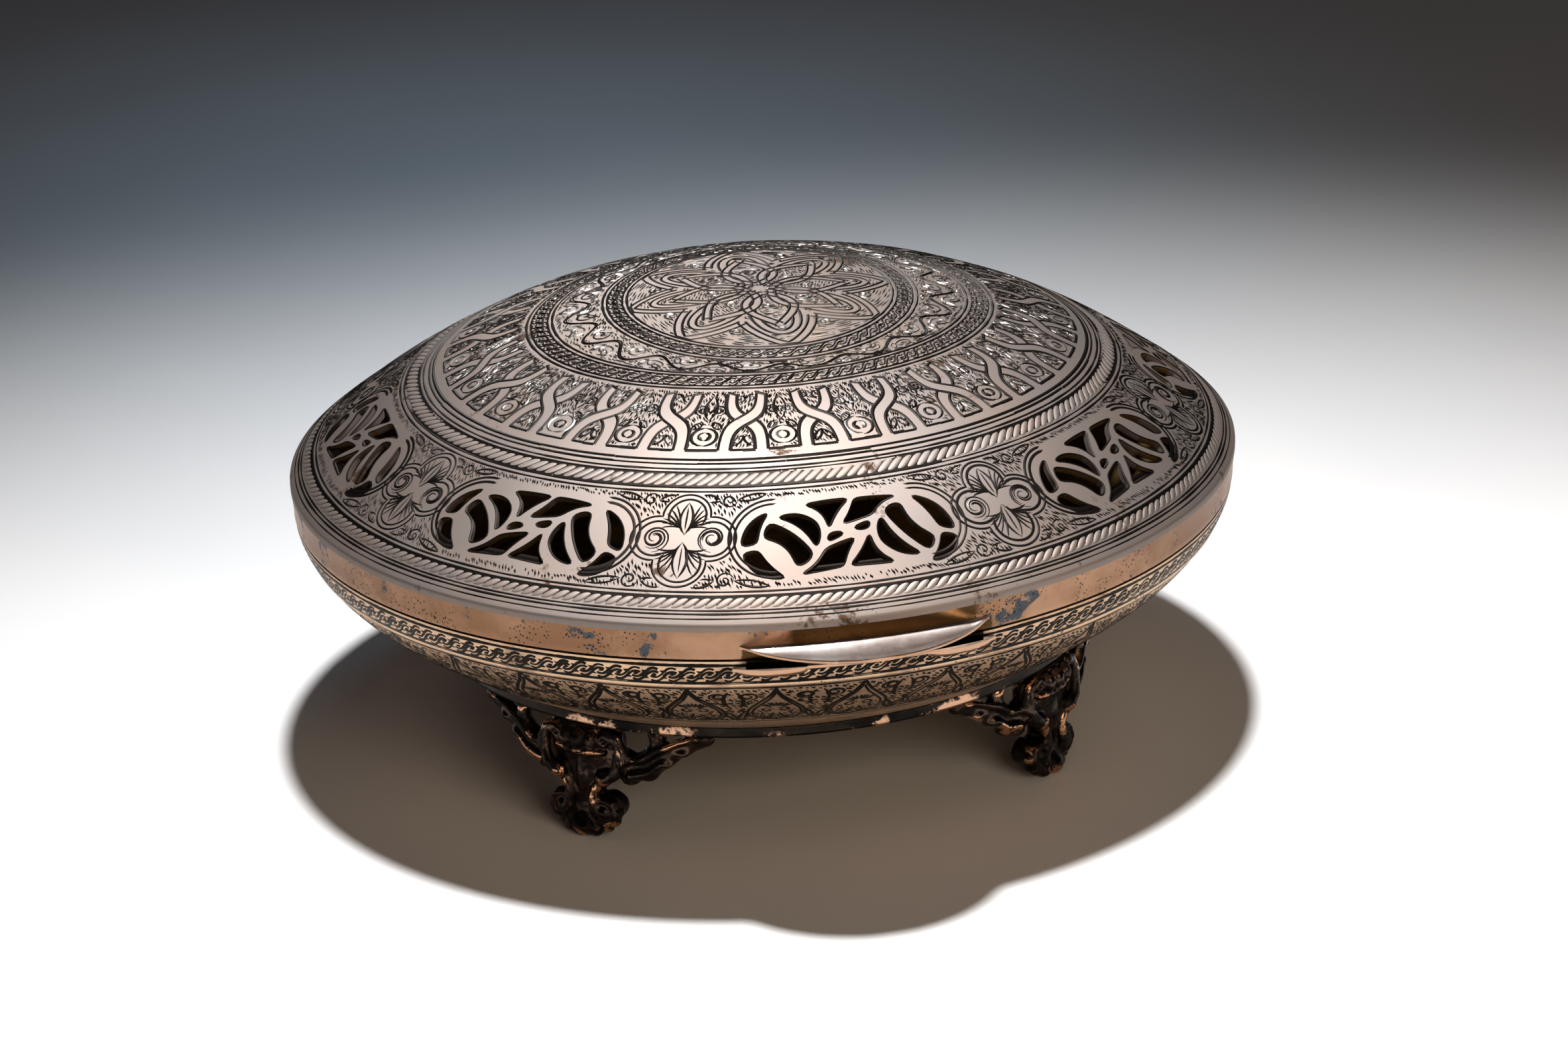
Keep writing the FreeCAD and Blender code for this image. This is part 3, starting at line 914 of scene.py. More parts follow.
class Finishes:
    """Every finish of the box."""

    def __init__(self) -> None:
        """Build the materials."""
        effects = Effects()
        self.lid = Metal(
            "engraved_lid_silver", (0.285, 0.245, 0.222), (0.305, 0.245, 0.21), (0.11, 0.065, 0.042),
            (0.06, 0.035, 0.02), gloss=0.57, dull=0.7, patch_scale=85.0, patch_cover=0.1, patch_soft=0.03,
            pit_cover=0.1).build(effects)
        # The band's near-black wear_and_shade colour is painted shade under the thumb piece, and a dark patch on the
        # front.
        self.band = Metal(
            "plain_band_silver", (0.38, 0.22, 0.135), (0.22, 0.115, 0.062), (0.075, 0.08, 0.09), (0.02, 0.013, 0.01),
            gloss=0.36, dull=0.5, bloom_scale=26.0, patch_scale=95.0, patch_cover=0.22, patch_soft=0.015,
            pit_cover=0.55, pit_scale=1500.0, wear_and_shade_colour=(0.06, 0.032, 0.012)).build(effects)
        self.thumb = Metal(
            "thumb_silver", (0.84, 0.77, 0.74), (0.46, 0.38, 0.34), (0.27, 0.22, 0.2), (0.05, 0.04, 0.03), gloss=0.34,
            dull=0.5, patch_cover=0.25, pit_cover=0.1, wear_and_shade_colour=(0.45, 0.27, 0.17)).build(effects)
        self.bowl = Metal(
            "tarnished_bowl_silver", (0.52, 0.355, 0.24), (0.58, 0.395, 0.25), (0.26, 0.165, 0.105),
            (0.03, 0.02, 0.014), gloss=0.4, dull=0.56, patch_scale=38.0, patch_cover=0.32, pit_cover=0.4
        ).build(effects)
        self.base = Metal(
            "black_base_strip", (0.014, 0.011, 0.009), (0.024, 0.017, 0.013), (0.008, 0.007, 0.006),
            (0.006, 0.005, 0.004), gloss=0.25, dull=0.4, bloom_scale=230.0, wear_and_shade_colour=(0.5, 0.3, 0.19), wear_and_shade_from=0.5
        ).build(effects)
        self.feet = Metal(
            "cast_foot_bronze", (0.04, 0.03, 0.025), (0.075, 0.045, 0.032), (0.014, 0.011, 0.009),
            (0.006, 0.005, 0.004), gloss=0.2, dull=0.4, bloom_scale=140.0, patch_scale=160.0, patch_cover=0.5,
            pit_cover=0.5, wear_and_shade_colour=(0.5, 0.26, 0.145), wear_and_shade_from=0.5, relief=0.00008).build(effects)
        self.inside = Metal(
            "dull_gilt_inside", (0.36, 0.235, 0.095), (0.29, 0.175, 0.065), (0.14, 0.08, 0.032), (0.03, 0.02, 0.01),
            gloss=0.45, dull=0.6, patch_cover=0.36, patch_soft=0.13).build(effects)
        self.cuts = CutLine("blackened_cuts", (0.018, 0.015, 0.013), (0.95, 0.9, 0.84)).build()
        self.bowl_cuts = CutLine("blackened_bowl_cuts", (0.01, 0.008, 0.006), (0.42, 0.3, 0.19)).build()


def guilloche(band: Band, edge: float = 1.05, strand: float = 0.36) -> Sketch:
    """Two strands that twist round each other.

    Args:
        band: the band it fills.
        edge: plain strip left on each side.
        strand: half the width of a strand.

    Returns:
        The sketch.
    """
    made = Sketch()
    p, middle = band.pitch, band.height / 2
    swing = middle - edge - strand
    hidden = p * 0.13
    for sign, low, high in ((1, hidden, p / 2), (1, -p / 2, -hidden), (-1, hidden - p / 2, p / 2 - hidden)):
        u = np.linspace(low, high, 9 if sign > 0 else 15)
        for side in (-1, 1):
            v = middle + sign * swing * np.sin(math.tau * u / p) + side * strand
            made.add(zipped(u, v), 0.24, False)
    for k in (-1, 1):
        made.bow((k * p / 4 - 0.5, middle), (k * p / 4 + 0.5, middle), 0.16 * k, 0.34, 4)
        made.bow((-0.55, middle + k * swing * 0.9), (0.55, middle + k * swing * 0.9), -0.3 * k, 0.26, 5)
        at = p / 2 - 0.6
        made.bow((at, middle + k * swing * 0.9), (at + 1.2, middle + k * swing * 0.9), -0.3 * k, 0.26, 5)
    return made


def rosette(band: Band, strap: float = 0.7) -> Sketch:
    """Interlaced straps: petals round the middle, a lobed ring across them and a zigzag at the rim.

    Args:
        band: the disc it fills.
        strap: half the width of a strap.

    Returns:
        The sketch.
    """
    made = Sketch()
    turn = math.tau / band.count
    reach = band.outer

    def drawn(path: Array) -> Array:
        """Place along and across the band of a path drawn true to shape."""
        return zipped(np.arctan2(path[:, 0], path[:, 1]) / turn * band.pitch,
                      np.hypot(path[:, 0], path[:, 1]) / reach * band.height)

    t = np.linspace(0, 1, 60)
    lobe = np.linspace(-1, 1, 60) * turn / 2
    petal = zipped(4.0 * np.sin(math.pi * t ** 0.8), 2.4 + 14.2 * t)
    ring = 8.2 + 11.6 * np.cos(lobe / turn * math.pi) ** 1.2
    zigzag = reach - 8.6 * np.abs(lobe / turn * 2) ** 1.15
    sets = [[petal, petal * (-1, 1)], [zipped(ring * np.sin(lobe), ring * np.cos(lobe))],
            [zipped(zigzag * np.sin(lobe), zigzag * np.cos(lobe))]]

    def gap(u: Array, v: Array, group: list[Array]) -> Array:
        """Distance to the nearest strap of a set."""
        a, r = np.asarray(u) / band.pitch * turn, np.asarray(v) / band.height * reach
        place = zipped(r * np.sin(a), r * np.cos(a)).reshape(-1, 2)
        near = np.full(len(place), 1e3)
        for path in group:
            for k in (-1, 0, 1):
                c, s = math.cos(k * turn), math.sin(k * turn)
                turned = path @ np.array([[c, -s], [s, c]])
                near = np.minimum(near, np.sqrt(((place[:, None] - turned[None]) ** 2).sum(-1)).min(1))
        return near.reshape(np.shape(a))

    for level, group in enumerate(sets):
        over = sets[:level] if level < 2 else sets[1:2]
        made.keep = lambda u, v, over=over: np.logical_and.reduce(
            [np.ones(np.shape(u), bool)] + [gap(u, v, other) > strap for other in over])
        for path in group:
            ahead = np.gradient(path, axis=0)
            side = zipped(-ahead[:, 1], ahead[:, 0]) / np.linalg.norm(ahead, axis=1, keepdims=True)
            for sign in (-1, 1):
                edge = path + side * strap * sign
                made.add(drawn(edge[np.hypot(edge[:, 0], edge[:, 1]) < reach - 0.1]), 0.34, False)
    made.keep = None
    made.curl((0, 0.075 * band.height), 0.5, 0.5, 0, 1.0, 0.2)

    def ground(u: Array, v: Array) -> Array:
        """Whether a place is clear of the straps."""
        clear = (v > 0.11 * band.height) & (v < band.height - 0.2)
        for group in sets:
            clear &= gap(u, v, group) > strap + 0.3
        return clear

    made.keep = ground
    for x, y, size in ((0.0, 8.6, 1.6), (0.0, 18.6, 1.3), (7.6, 17.6, 1.5), (-7.6, 17.6, 1.5), (4.6, 10.2, 1.1)):
        eye = np.linspace(0, 8.2, 30)
        spiral = zipped(x + size * (1 - eye / 11) * np.cos(eye), y + size * (1 - eye / 11) * np.sin(eye))
        made.add(drawn(spiral), 0.24)
    made.keep = None
    made.hatch((-band.pitch / 2, 0.11 * band.height), (band.pitch / 2, band.height), 24, 0.6, ground, 0.1, 0.24,
               2.2, 11)
    return made


def vine(band: Band) -> Sketch:
    """A running stem with a curled leaf in each bend, on a hatched ground.

    Args:
        band: the band it fills.

    Returns:
        The sketch.
    """
    made = Sketch()
    p, h = band.pitch, band.height
    middle = h / 2
    u = np.linspace(-p / 2, p / 2, 25)
    stem = middle + 0.26 * h * np.sin(math.tau * u / p)
    for side in (-0.28, 0.28):
        made.add(zipped(u, stem + side), 0.24, False)
    for sign in (-1, 1):
        eye = (sign * p / 4, middle - sign * 0.16 * h)
        made.curl(eye, 0.24 * h, 0.25, -90 * sign, sign * 1.4, 0.28)
        made.leaf(eye, (eye[0] + 0.16 * p, eye[1] - sign * 0.22 * h), 0.5, 2)
        made.leaf((eye[0] - 0.12 * p, middle), (eye[0] - 0.2 * p, middle - sign * 0.36 * h), 0.6, 2)
        made.bow((eye[0] + 0.1 * p, middle + sign * 0.4 * h), (eye[0] - 0.1 * p, middle + sign * 0.4 * h), 0.3)

    def ground(u: Array, v: Array) -> Array:
        """Whether a place is clear of the stem and the leaves."""
        clear = np.abs(v - middle - 0.26 * h * np.sin(math.tau * u / p)) > 0.6
        for sign in (-1, 1):
            away = np.hypot(u - sign * p / 4, v - middle + sign * 0.16 * h)
            clear &= away > 0.27 * h
        return clear & (v > 0.25) & (v < h - 0.25)

    made.hatch((-p / 2, 0), (p / 2, h), 30, 0.57, ground, 0.12, 0.24, 1.8, 13)
    return made


def shafts(band: Band, half: float = 1.0) -> Sketch:
    """Pairs of plain shafts that cross once, on a plain footing, with rings and buds on a vine-cut ground.

    Args:
        band: the band it fills.
        half: half the width of a shaft.

    Returns:
        The sketch.
    """
    p, h = band.pitch, band.height
    head, sill, foot = 1.3, h - 3.9, h - 1.7
    cross, spread, sweep = 0.43 * h, 0.23 * p, 0.13 * h
    ring_at, ring_size, ring_hole = sill - 3.3, 2.2, 0.95
    made = Sketch()

    def middle(v: Array) -> Array:
        """Middle line of the shaft that leans to the right."""
        return spread * np.tanh((v - cross) / sweep)

    def spare(v: Array) -> Array:
        """Half the shaft's width along the band."""
        lean = spread / sweep / np.cosh((v - cross) / sweep) ** 2
        return half * np.sqrt(1 + lean ** 2)

    def near(u: Array, v: Array, side: float, more: float) -> Array:
        """Whether a place lies on one of the two shafts."""
        return (np.abs(u - side * middle(v)) < spare(v) + more) & (v > head)

    v = np.linspace(head, sill, 40)
    for side in (1.0, -1.0):
        made.keep = None if side > 0 else lambda u, v: ~near(u, v, 1.0, 0.0)
        for edge in (-1, 1):
            made.add(zipped(side * middle(v + edge * 0.35 * side) + edge * spare(v), v), 0.36, False)
        made.keep = None
        top = side * middle(np.array(head))
        made.bow((top - half, head + 0.35), (top + half, head - 0.5), 0, 0.36, 4, False)
    for side in (-1, 1):
        outer = side * (spread + half)
        made.bow((outer, sill), (side * (p / 2 + 0.1), sill), 0, 0.36, 5, False)
        made.bow((side * (spread - half), sill), (0, sill), 0, 0.36, 4, False)
    for level, width in ((foot, 0.36), (h - 0.8, 0.28)):
        made.bow((-p / 2, level), (p / 2, level), 0, width, 9, False)
    for side in (-1, 1):
        for size in (ring_size, ring_hole):
            made.curl((side * p / 2, ring_at), size, size, 90, side * 0.5, 0.36)

    def ground(u: Array, v: Array) -> Array:
        """Whether a place is clear of the shafts, the footing and the rings."""
        ring = np.hypot(np.abs(u) - p / 2, v - ring_at)
        clear = ~near(u, v, 1.0, 0.28) & ~near(u, v, -1.0, 0.28)
        clear &= ((ring > ring_size + 0.3) | (ring < ring_hole - 0.2))
        return clear & (v > 0.3) & ((v < sill - 0.3) | (v > foot + 0.25)) & (v < h - 0.9)

    made.keep = ground
    for side in (-1, 1):
        def at(x: float, y: float) -> Point:
            """A place on this side, in shares of the repeat."""
            return side * p * x, y * h

        made.bow(at(0.5, 0.44), at(0.5, 0.1), -side * 1.15, 0.3, 9)
        made.bow(at(0.5, 0.36), (side * (p / 2 - 0.8), 0.26 * h), 0, 0.2, 4)
        made.curl(at(0.39, 0.3), 1.5, 0.35, 90, side * 1.6, 0.28)
        made.leaf(at(0.3, 0.56), at(0.44, 0.46), side * 0.6, 2)
        made.curl(at(0.1, 0.13), 1.3, 0.3, 0, side * 1.4, 0.28)
        made.leaf((0.0, 0.62 * h), at(0.12, 0.76), side * 0.5, 2)
    made.keep = None
    made.hatch((-p / 2, 0), (p / 2, h), 72, 0.5, ground, 0.2, 0.23, 1.9, 17)
    return made


def lancet(band: Band, strip: float = 0.85) -> Sketch:
    """Pointed leaf-shaped panels with rays and hearts, and mirrored scrolls between them.

    Args:
        band: the band it fills.
        strip: width of the plain strip round each panel.

    Returns:
        The sketch.
    """
    made = Sketch()
    p, h = band.pitch, band.height
    at = (0.0, 0.1, 0.22, 0.38, 0.54, 0.68, 0.8, 0.9, 0.97, 1.0)
    swell = (0.0, 0.1, 0.26, 0.58, 0.88, 1.0, 0.97, 0.76, 0.4, 0.0)
    tip, foot, belly = 0.15, h - 0.3, 0.37 * p

    def flank(v: Array, shrink: float) -> Array:
        """Half the panel's width at a height."""
        t = (v - tip - 1.9 * shrink) / (foot - tip - 2.6 * shrink)
        return np.interp(t, at, swell, 0, 0) * (belly - shrink)

    for shrink, width in ((0.0, 0.34), (strip, 0.28)):
        v = np.linspace(tip + 1.9 * shrink, foot - 0.7 * shrink, 34)
        for side in (-1, 1):
            made.add(zipped(side * flank(v, shrink), v), width, False)
    for angle in np.radians(np.linspace(-140, -40, 9)):
        start, end = [(r * math.cos(angle), 0.56 * h + r * math.sin(angle)) for r in (1.3, 3.6)]
        made.bow(start, end, 0, 0.26, 5)
    for side in (-1, 1):
        def mid(x: float, y: float) -> Point:
            """A place on this side of the panel's middle."""
            return side * x, y * h

        def rim(x: float, y: float) -> Point:
            """A place inwards from this side's end of the repeat."""
            return side * p / 2 - side * x, y * h

        made.curl(mid(1.35, 0.6), 1.2, 0.3, 200 if side > 0 else -20, side * 1.2, 0.3)
        made.bow(mid(0.5, 0.7), mid(2.3, 0.88), side * 0.5, 0.3)
        made.bow(mid(2.6, 0.66), mid(3.2, 0.8), side * 0.4, 0.26)
        for k in range(3):
            made.bow(mid(0.3 + 0.5 * k, 0.8 + 0.035 * k), mid(1.1 + 0.6 * k, 0.93), 0, 0.2, 4)
        made.curl(rim(2.3, 0.2), 1.75, 0.45, 60 if side > 0 else 120, side * 1.5, 0.32)
        made.curl(rim(2.1, 0.2), 1.1, 0.9, 0, 1.0, 0.22)
        made.bow(rim(0.5, 0.08), rim(0.9, 0.5), side * 0.9, 0.34, 9)
        made.bow(rim(0.9, 0.5), rim(3.4, 0.36), side * 0.6, 0.3)
        made.leaf(rim(0.2, 0.98), rim(1.9, 0.62), side * 0.6, 2, 0.3)
        made.bow(rim(0.3, 0.56), rim(2.4, 0.74), side * 0.5, 0.28)
        for k in range(3):
            made.bow(rim(0.9 + 0.8 * k, 0.9), rim(1.5 + 0.8 * k, 0.97), 0, 0.22, 4)

    def ground(u: Array, v: Array) -> Array:
        """Whether a place lies outside the panel's strip and clear of the scrolls."""
        between = np.abs(u) > flank(v, 0.0) + 0.3
        panel = np.abs(u) < flank(v, strip) - 0.3
        scroll = np.hypot(np.abs(u) - p / 2 + 2.3, v - 0.2 * h) > 1.9
        fan = np.hypot(u, v - 0.56 * h) > 2.6
        return ((between & scroll) | (panel & fan & (v > 0.6 * h))) & (v > 0.3) & (v < h - 0.2)

    made.hatch((-p / 2, 0), (p / 2, h), 58, 0.78, ground, 0.18, 0.34, 1.9, 23)
    return made


@dataclass
class Rim:
    """The zone of pierced cartouches and quatrefoils, drawn in millimetres of the unsqueezed plan."""

    middle: float = 75.0
    inner: float = 66.9
    outer: float = 83.0
    count: int = 8
    half_length: float = 20.3
    half_height: float = 7.6
    strip: float = 0.95
    lobe_radius: float = 4.3
    lobe_spread: float = 4.7
    half_openings: tuple[tuple[tuple[float, float, float], ...], ...] = (
        ((-13.4, 6.4, 1.35), (-19.2, 1.4, 0.1), (-16.4, 1.1, -0.5)),
        ((-19.2, -0.1, 1.75), (-12.6, -6.5, -0.5), (-16.4, -0.4, 0.1)),
        ((-6.3, -2.2, 0.6), (-5.3, 2.4, 1.1), (-11.9, 5.0, -1.0)),
        ((-10.4, -4.9, 0.5), (-7.2, -3.3, 0.7), (-13.5, 4.2, 0.3), (-15.0, 1.6, -1.2)),
        ((-3.4, 0.9, -0.4), (1.2, 6.4, 0.1), (-6.8, 6.4, -1.1)),
        ((-9.8, -6.5, 0.1), (-2.2, -6.4, -0.3), (0.9, -1.5, 0.1), (-4.8, -2.9, -0.6)),
        ((-4.0, -1.5, 0.15), (-0.9, -0.35, 0.3), (-3.4, -0.15, 0.2)),
    )

    @property
    def pitch(self) -> float:
        """Length of the zone for each cartouche."""
        return math.tau * self.middle / self.count

    def openings(self, slope: float, grow: float) -> list[Array]:
        """Outlines of one cartouche's openings, along the zone and outwards.

        Args:
            slope: length up the slope for one millimetre of radius.
            grow: how far the outlines are moved outwards.

        Returns:
            One ring of points for each opening.
        """
        made = []
        for corners in self.half_openings:
            for sign in (1, -1):
                sides = []
                for (x, y, bow), (next_x, next_y, _) in zip(corners, corners[1:] + corners[:1]):
                    start, end = sign * np.array([x, y]), sign * np.array([next_x, next_y])
                    length = np.linalg.norm(end - start)
                    t = np.linspace(0, 1, max(4, round(length / 0.7)), endpoint=False)[:, None]
                    out = np.array([(end - start)[1], -(end - start)[0]]) / length
                    sides.append(start + (end - start) * t + out * bow * 4 * t * (1 - t))
                ring = np.concatenate(sides)
                for _ in range(2):
                    ring = 0.6 * ring + 0.2 * (np.roll(ring, 1, 0) + np.roll(ring, -1, 0))
                ahead = np.roll(ring, -1, 0) - np.roll(ring, 1, 0)
                out = zipped(ahead[:, 1], -ahead[:, 0])
                ring = ring + grow * out / np.maximum(np.linalg.norm(out, axis=1, keepdims=True), 1e-6)
                radius = self.middle - ring[:, 1] / slope
                made.append(zipped(self.middle * np.arctan2(ring[:, 0], radius),
                                   np.hypot(ring[:, 0], radius) - self.middle))
        return made

    def stadium(self, u: Array, v: Array) -> Array:
        """Distance outside the cartouche's border, negative inside it."""
        x = np.maximum(np.abs(u) - (self.half_length - self.half_height), 0)
        return np.hypot(x, v) - self.half_height

    def quatrefoil(self, angle: Array, shrink: float) -> Array:
        """Radius of the four-lobed outline in a direction.

        Args:
            angle: the direction.
            shrink: how far the outline moves inwards.

        Returns:
            The radius.
        """
        turn = (angle + math.pi / 4) % (math.pi / 2) - math.pi / 4
        radius = self.lobe_radius - shrink
        return self.lobe_spread * np.cos(turn) + np.sqrt(
            np.maximum(radius ** 2 - (self.lobe_spread * np.sin(turn)) ** 2, 0))

    def sketch(self, band: Band) -> Sketch:
        """Strips round the cartouches, quatrefoils with leaves, and hatched corners.

        Args:
            band: the band on the lid.

        Returns:
            The sketch of one repeat.
        """
        p, h = band.pitch, band.height
        middle = h / 2
        made = Sketch()
        ring = circle(120)
        for shrink in (0.0, self.strip):
            size = self.half_height - shrink
            x = np.sign(np.cos(ring)) * (self.half_length - self.half_height) + size * np.cos(ring)
            made.contour(zipped(x, middle + size * np.sin(ring)), 0.3)
            r = self.quatrefoil(ring, shrink)
            made.contour(zipped(p / 2 + r * np.cos(ring), middle + r * np.sin(ring)), 0.28)
        for sign in (-1, 1):
            made.leaf((p / 2, middle + sign * 0.7), (p / 2, middle + sign * 7.4), 1.15, 0, 0.28)
            made.bow((p / 2, middle + sign * 1.6), (p / 2, middle + sign * 6.4), 0.0, 0.18)
            for k, turn in enumerate((19, 28, 37, 46, 55, 64)):
                for side in (-1, 1):
                    angle = math.radians(90 - side * turn) * sign
                    end = (p / 2 + (7.4 - k * 0.55) * math.cos(angle), middle + (7.4 - k * 0.55) * math.sin(angle))
                    start = (p / 2 + side * 0.7, middle + sign * (1.4 + 0.13 * k))
                    made.bow(start, end, 0.35 * side * sign, 0.22, 6)
            for offset, turns in ((0.0, 1.6), (0.5, 1.1), (1.0, 0.8)):
                made.curl((p / 2 + sign * 4.9, middle), 2.7 - offset, 0.5 + 0.3 * offset, 90 + 70 * offset,
                          sign * turns, 0.24)

        def corner(u: Array, v: Array) -> Array:
            """Whether a place lies between the cartouche and the quatrefoil."""
            clear = (self.stadium(u, v - middle) > 0.4) & (v > 0.35) & (v < h - 0.35)
            for x in (u - p / 2, u + p / 2):
                clear &= np.hypot(x, v - middle) > self.quatrefoil(np.arctan2(v - middle, x), 0) + 0.4
            return clear

        made.keep = corner
        for side in (-1, 1):
            for sign in (-1, 1):
                at = (side * (p / 2 - 7.4), middle + sign * (h / 2 - 2.0))
                made.curl(at, 1.5, 0.3, 0, side * sign * 1.4, 0.24)
                made.leaf((at[0] + 1.6 * side, at[1]), (at[0] + 5.5 * side, at[1] + sign * 1.0), 0.7, 2)
                made.leaf((at[0] - 1.4 * side, at[1]), (at[0] - 7.0 * side, at[1] + sign * 1.2), 0.6, 2)
        made.keep = None
        made.hatch((-p / 2, 0), (p / 2, h), 68, 0.52, corner, 0.2, 0.24, 2.0, 19)
        squeeze = p / self.pitch
        for ring in self.openings(band.surface.slope(self.middle), 0.14):
            across = (self.middle + ring[:, 1] - self.inner) / (self.outer - self.inner) * h
            made.contour(zipped(ring[:, 0] * squeeze, across), 0.17)
        return made


class LinkRun:
    """Node tree that sets one raised link again and again along a path on the metal."""

    def __init__(self) -> None:
        """Build the tree."""
        self.tree = bpy.data.node_groups.new("links_along_a_ring", "GeometryNodeTree")
        face = self.tree.interface
        face.new_socket("Path", in_out="INPUT", socket_type="NodeSocketGeometry")
        self.keys = {label: face.new_socket(label, in_out="INPUT", socket_type=kind).identifier
                     for label, kind in (("Link", "NodeSocketObject"), ("Count", "NodeSocketInt"),
                                         ("Uneven", "NodeSocketFloat"), ("Finish", "NodeSocketMaterial"))}
        face.new_socket("Links", in_out="OUTPUT", socket_type="NodeSocketGeometry")
        w = Wiring(self.tree)
        start = w.node("NodeGroupInput")
        end = w.node("NodeGroupOutput")
        path = w.node("GeometryNodeMeshToCurve", None, {"Mesh": start.outputs["Path"]})
        spaced = w.node("GeometryNodeResampleCurve", None, {"Curve": path.outputs[0], "Count": start.outputs["Count"]})
        ahead = w.node("GeometryNodeInputTangent")
        outward = w.node("GeometryNodeInputNamedAttribute", {"data_type": "FLOAT_VECTOR"}, {"Name": "outward"})
        turn = w.node("FunctionNodeAxesToRotation", {"primary_axis": "Z", "secondary_axis": "X"},
                      {"Primary Axis": outward.outputs[0], "Secondary Axis": ahead.outputs[0]})
        low = w.math("SUBTRACT", 1.0, start.outputs["Uneven"])
        high = w.math("ADD", 1.0, start.outputs["Uneven"])
        size = w.node("FunctionNodeRandomValue", {"data_type": "FLOAT"}, {2: low, 3: high, "Seed": 5})
        link = w.node("GeometryNodeObjectInfo", None, {"Object": start.outputs["Link"]})
        many = w.node("GeometryNodeInstanceOnPoints", None,
                      {"Points": spaced.outputs[0], "Instance": link.outputs["Geometry"],
                       "Rotation": turn.outputs[0], "Scale": size.outputs[1]})
        real = w.node("GeometryNodeRealizeInstances", None, {"Geometry": many.outputs[0]})
        finished = w.node("GeometryNodeSetMaterial", None,
                          {"Geometry": real.outputs[0], "Material": start.outputs["Finish"]})
        w.feed(end, {0: finished.outputs[0]})

    def run(self, name: str, surface: Surface, s: float, lift: float, link: Object, count: int,
            finish: Material) -> Object:
        """Set links round a ring of a surface.

        Args:
            name: the piece's name.
            surface: the metal they lie on.
            s: ring place.
            lift: height over the metal.
            link: the link, drawn flat at the origin.
            count: how many.
            finish: their material.

        Returns:
            A plain mesh object.
        """
        theta = circle(PATH_STEPS)
        at = np.full_like(theta, s)
        ring = surface.point(at, theta, lift) * MM
        mesh = bpy.data.meshes.new(name + "_path")
        mesh.from_pydata(ring.tolist(), [(i, (i + 1) % len(ring)) for i in range(len(ring))], [])
        outward = mesh.attributes.new("outward", "FLOAT_VECTOR", "POINT")
        outward.data.foreach_set("vector", surface.normal(at, theta).astype(np.float32).ravel())
        path = placed(name + "_path", mesh)
        nodes = path.modifiers.new("links", "NODES")
        nodes.node_group = self.tree
        for label, value in (("Link", link), ("Count", count), ("Uneven", 0.05), ("Finish", finish)):
            nodes[self.keys[label]] = value
        graph = bpy.context.evaluated_depsgraph_get()
        plain = bpy.data.meshes.new_from_object(path.evaluated_get(graph))
        path.modifiers.remove(nodes)
        bpy.data.objects.remove(path)
        plain.name = name
        return placed(name, plain)


def inside(ring: Array, places: Array) -> Array:
    """Even-odd test of points against a closed outline.

    Args:
        ring: the outline.
        places: the points.

    Returns:
        Whether each point lies inside.
    """
    x, y = places[:, :1], places[:, 1:]
    a, b = ring[None], np.roll(ring, -1, 0)[None]
    spans = (a[..., 1] > y) != (b[..., 1] > y)
    rise = np.where(np.abs(b[..., 1] - a[..., 1]) < 1e-12, 1e-12, b[..., 1] - a[..., 1])
    cross = x < a[..., 0] + (y - a[..., 1]) * (b[..., 0] - a[..., 0]) / rise
    return (spans & cross).sum(1) % 2 == 1


def dressed(piece: Object, body: str, slot: Slot, *nodes: str) -> Object:
    """Hand a finished piece to the frame.

    Args:
        piece: the piece.
        body: the CAD body that it moves with.
        slot: the record's material slot; not used.
        nodes: the CAD nodes that it stands for.

    Returns:
        The piece.
    """
    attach(piece, body)
    if nodes:
        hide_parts(*nodes)
    LOG.info("%s: %d faces on %s", piece.name, len(piece.data.polygons), body)
    return piece


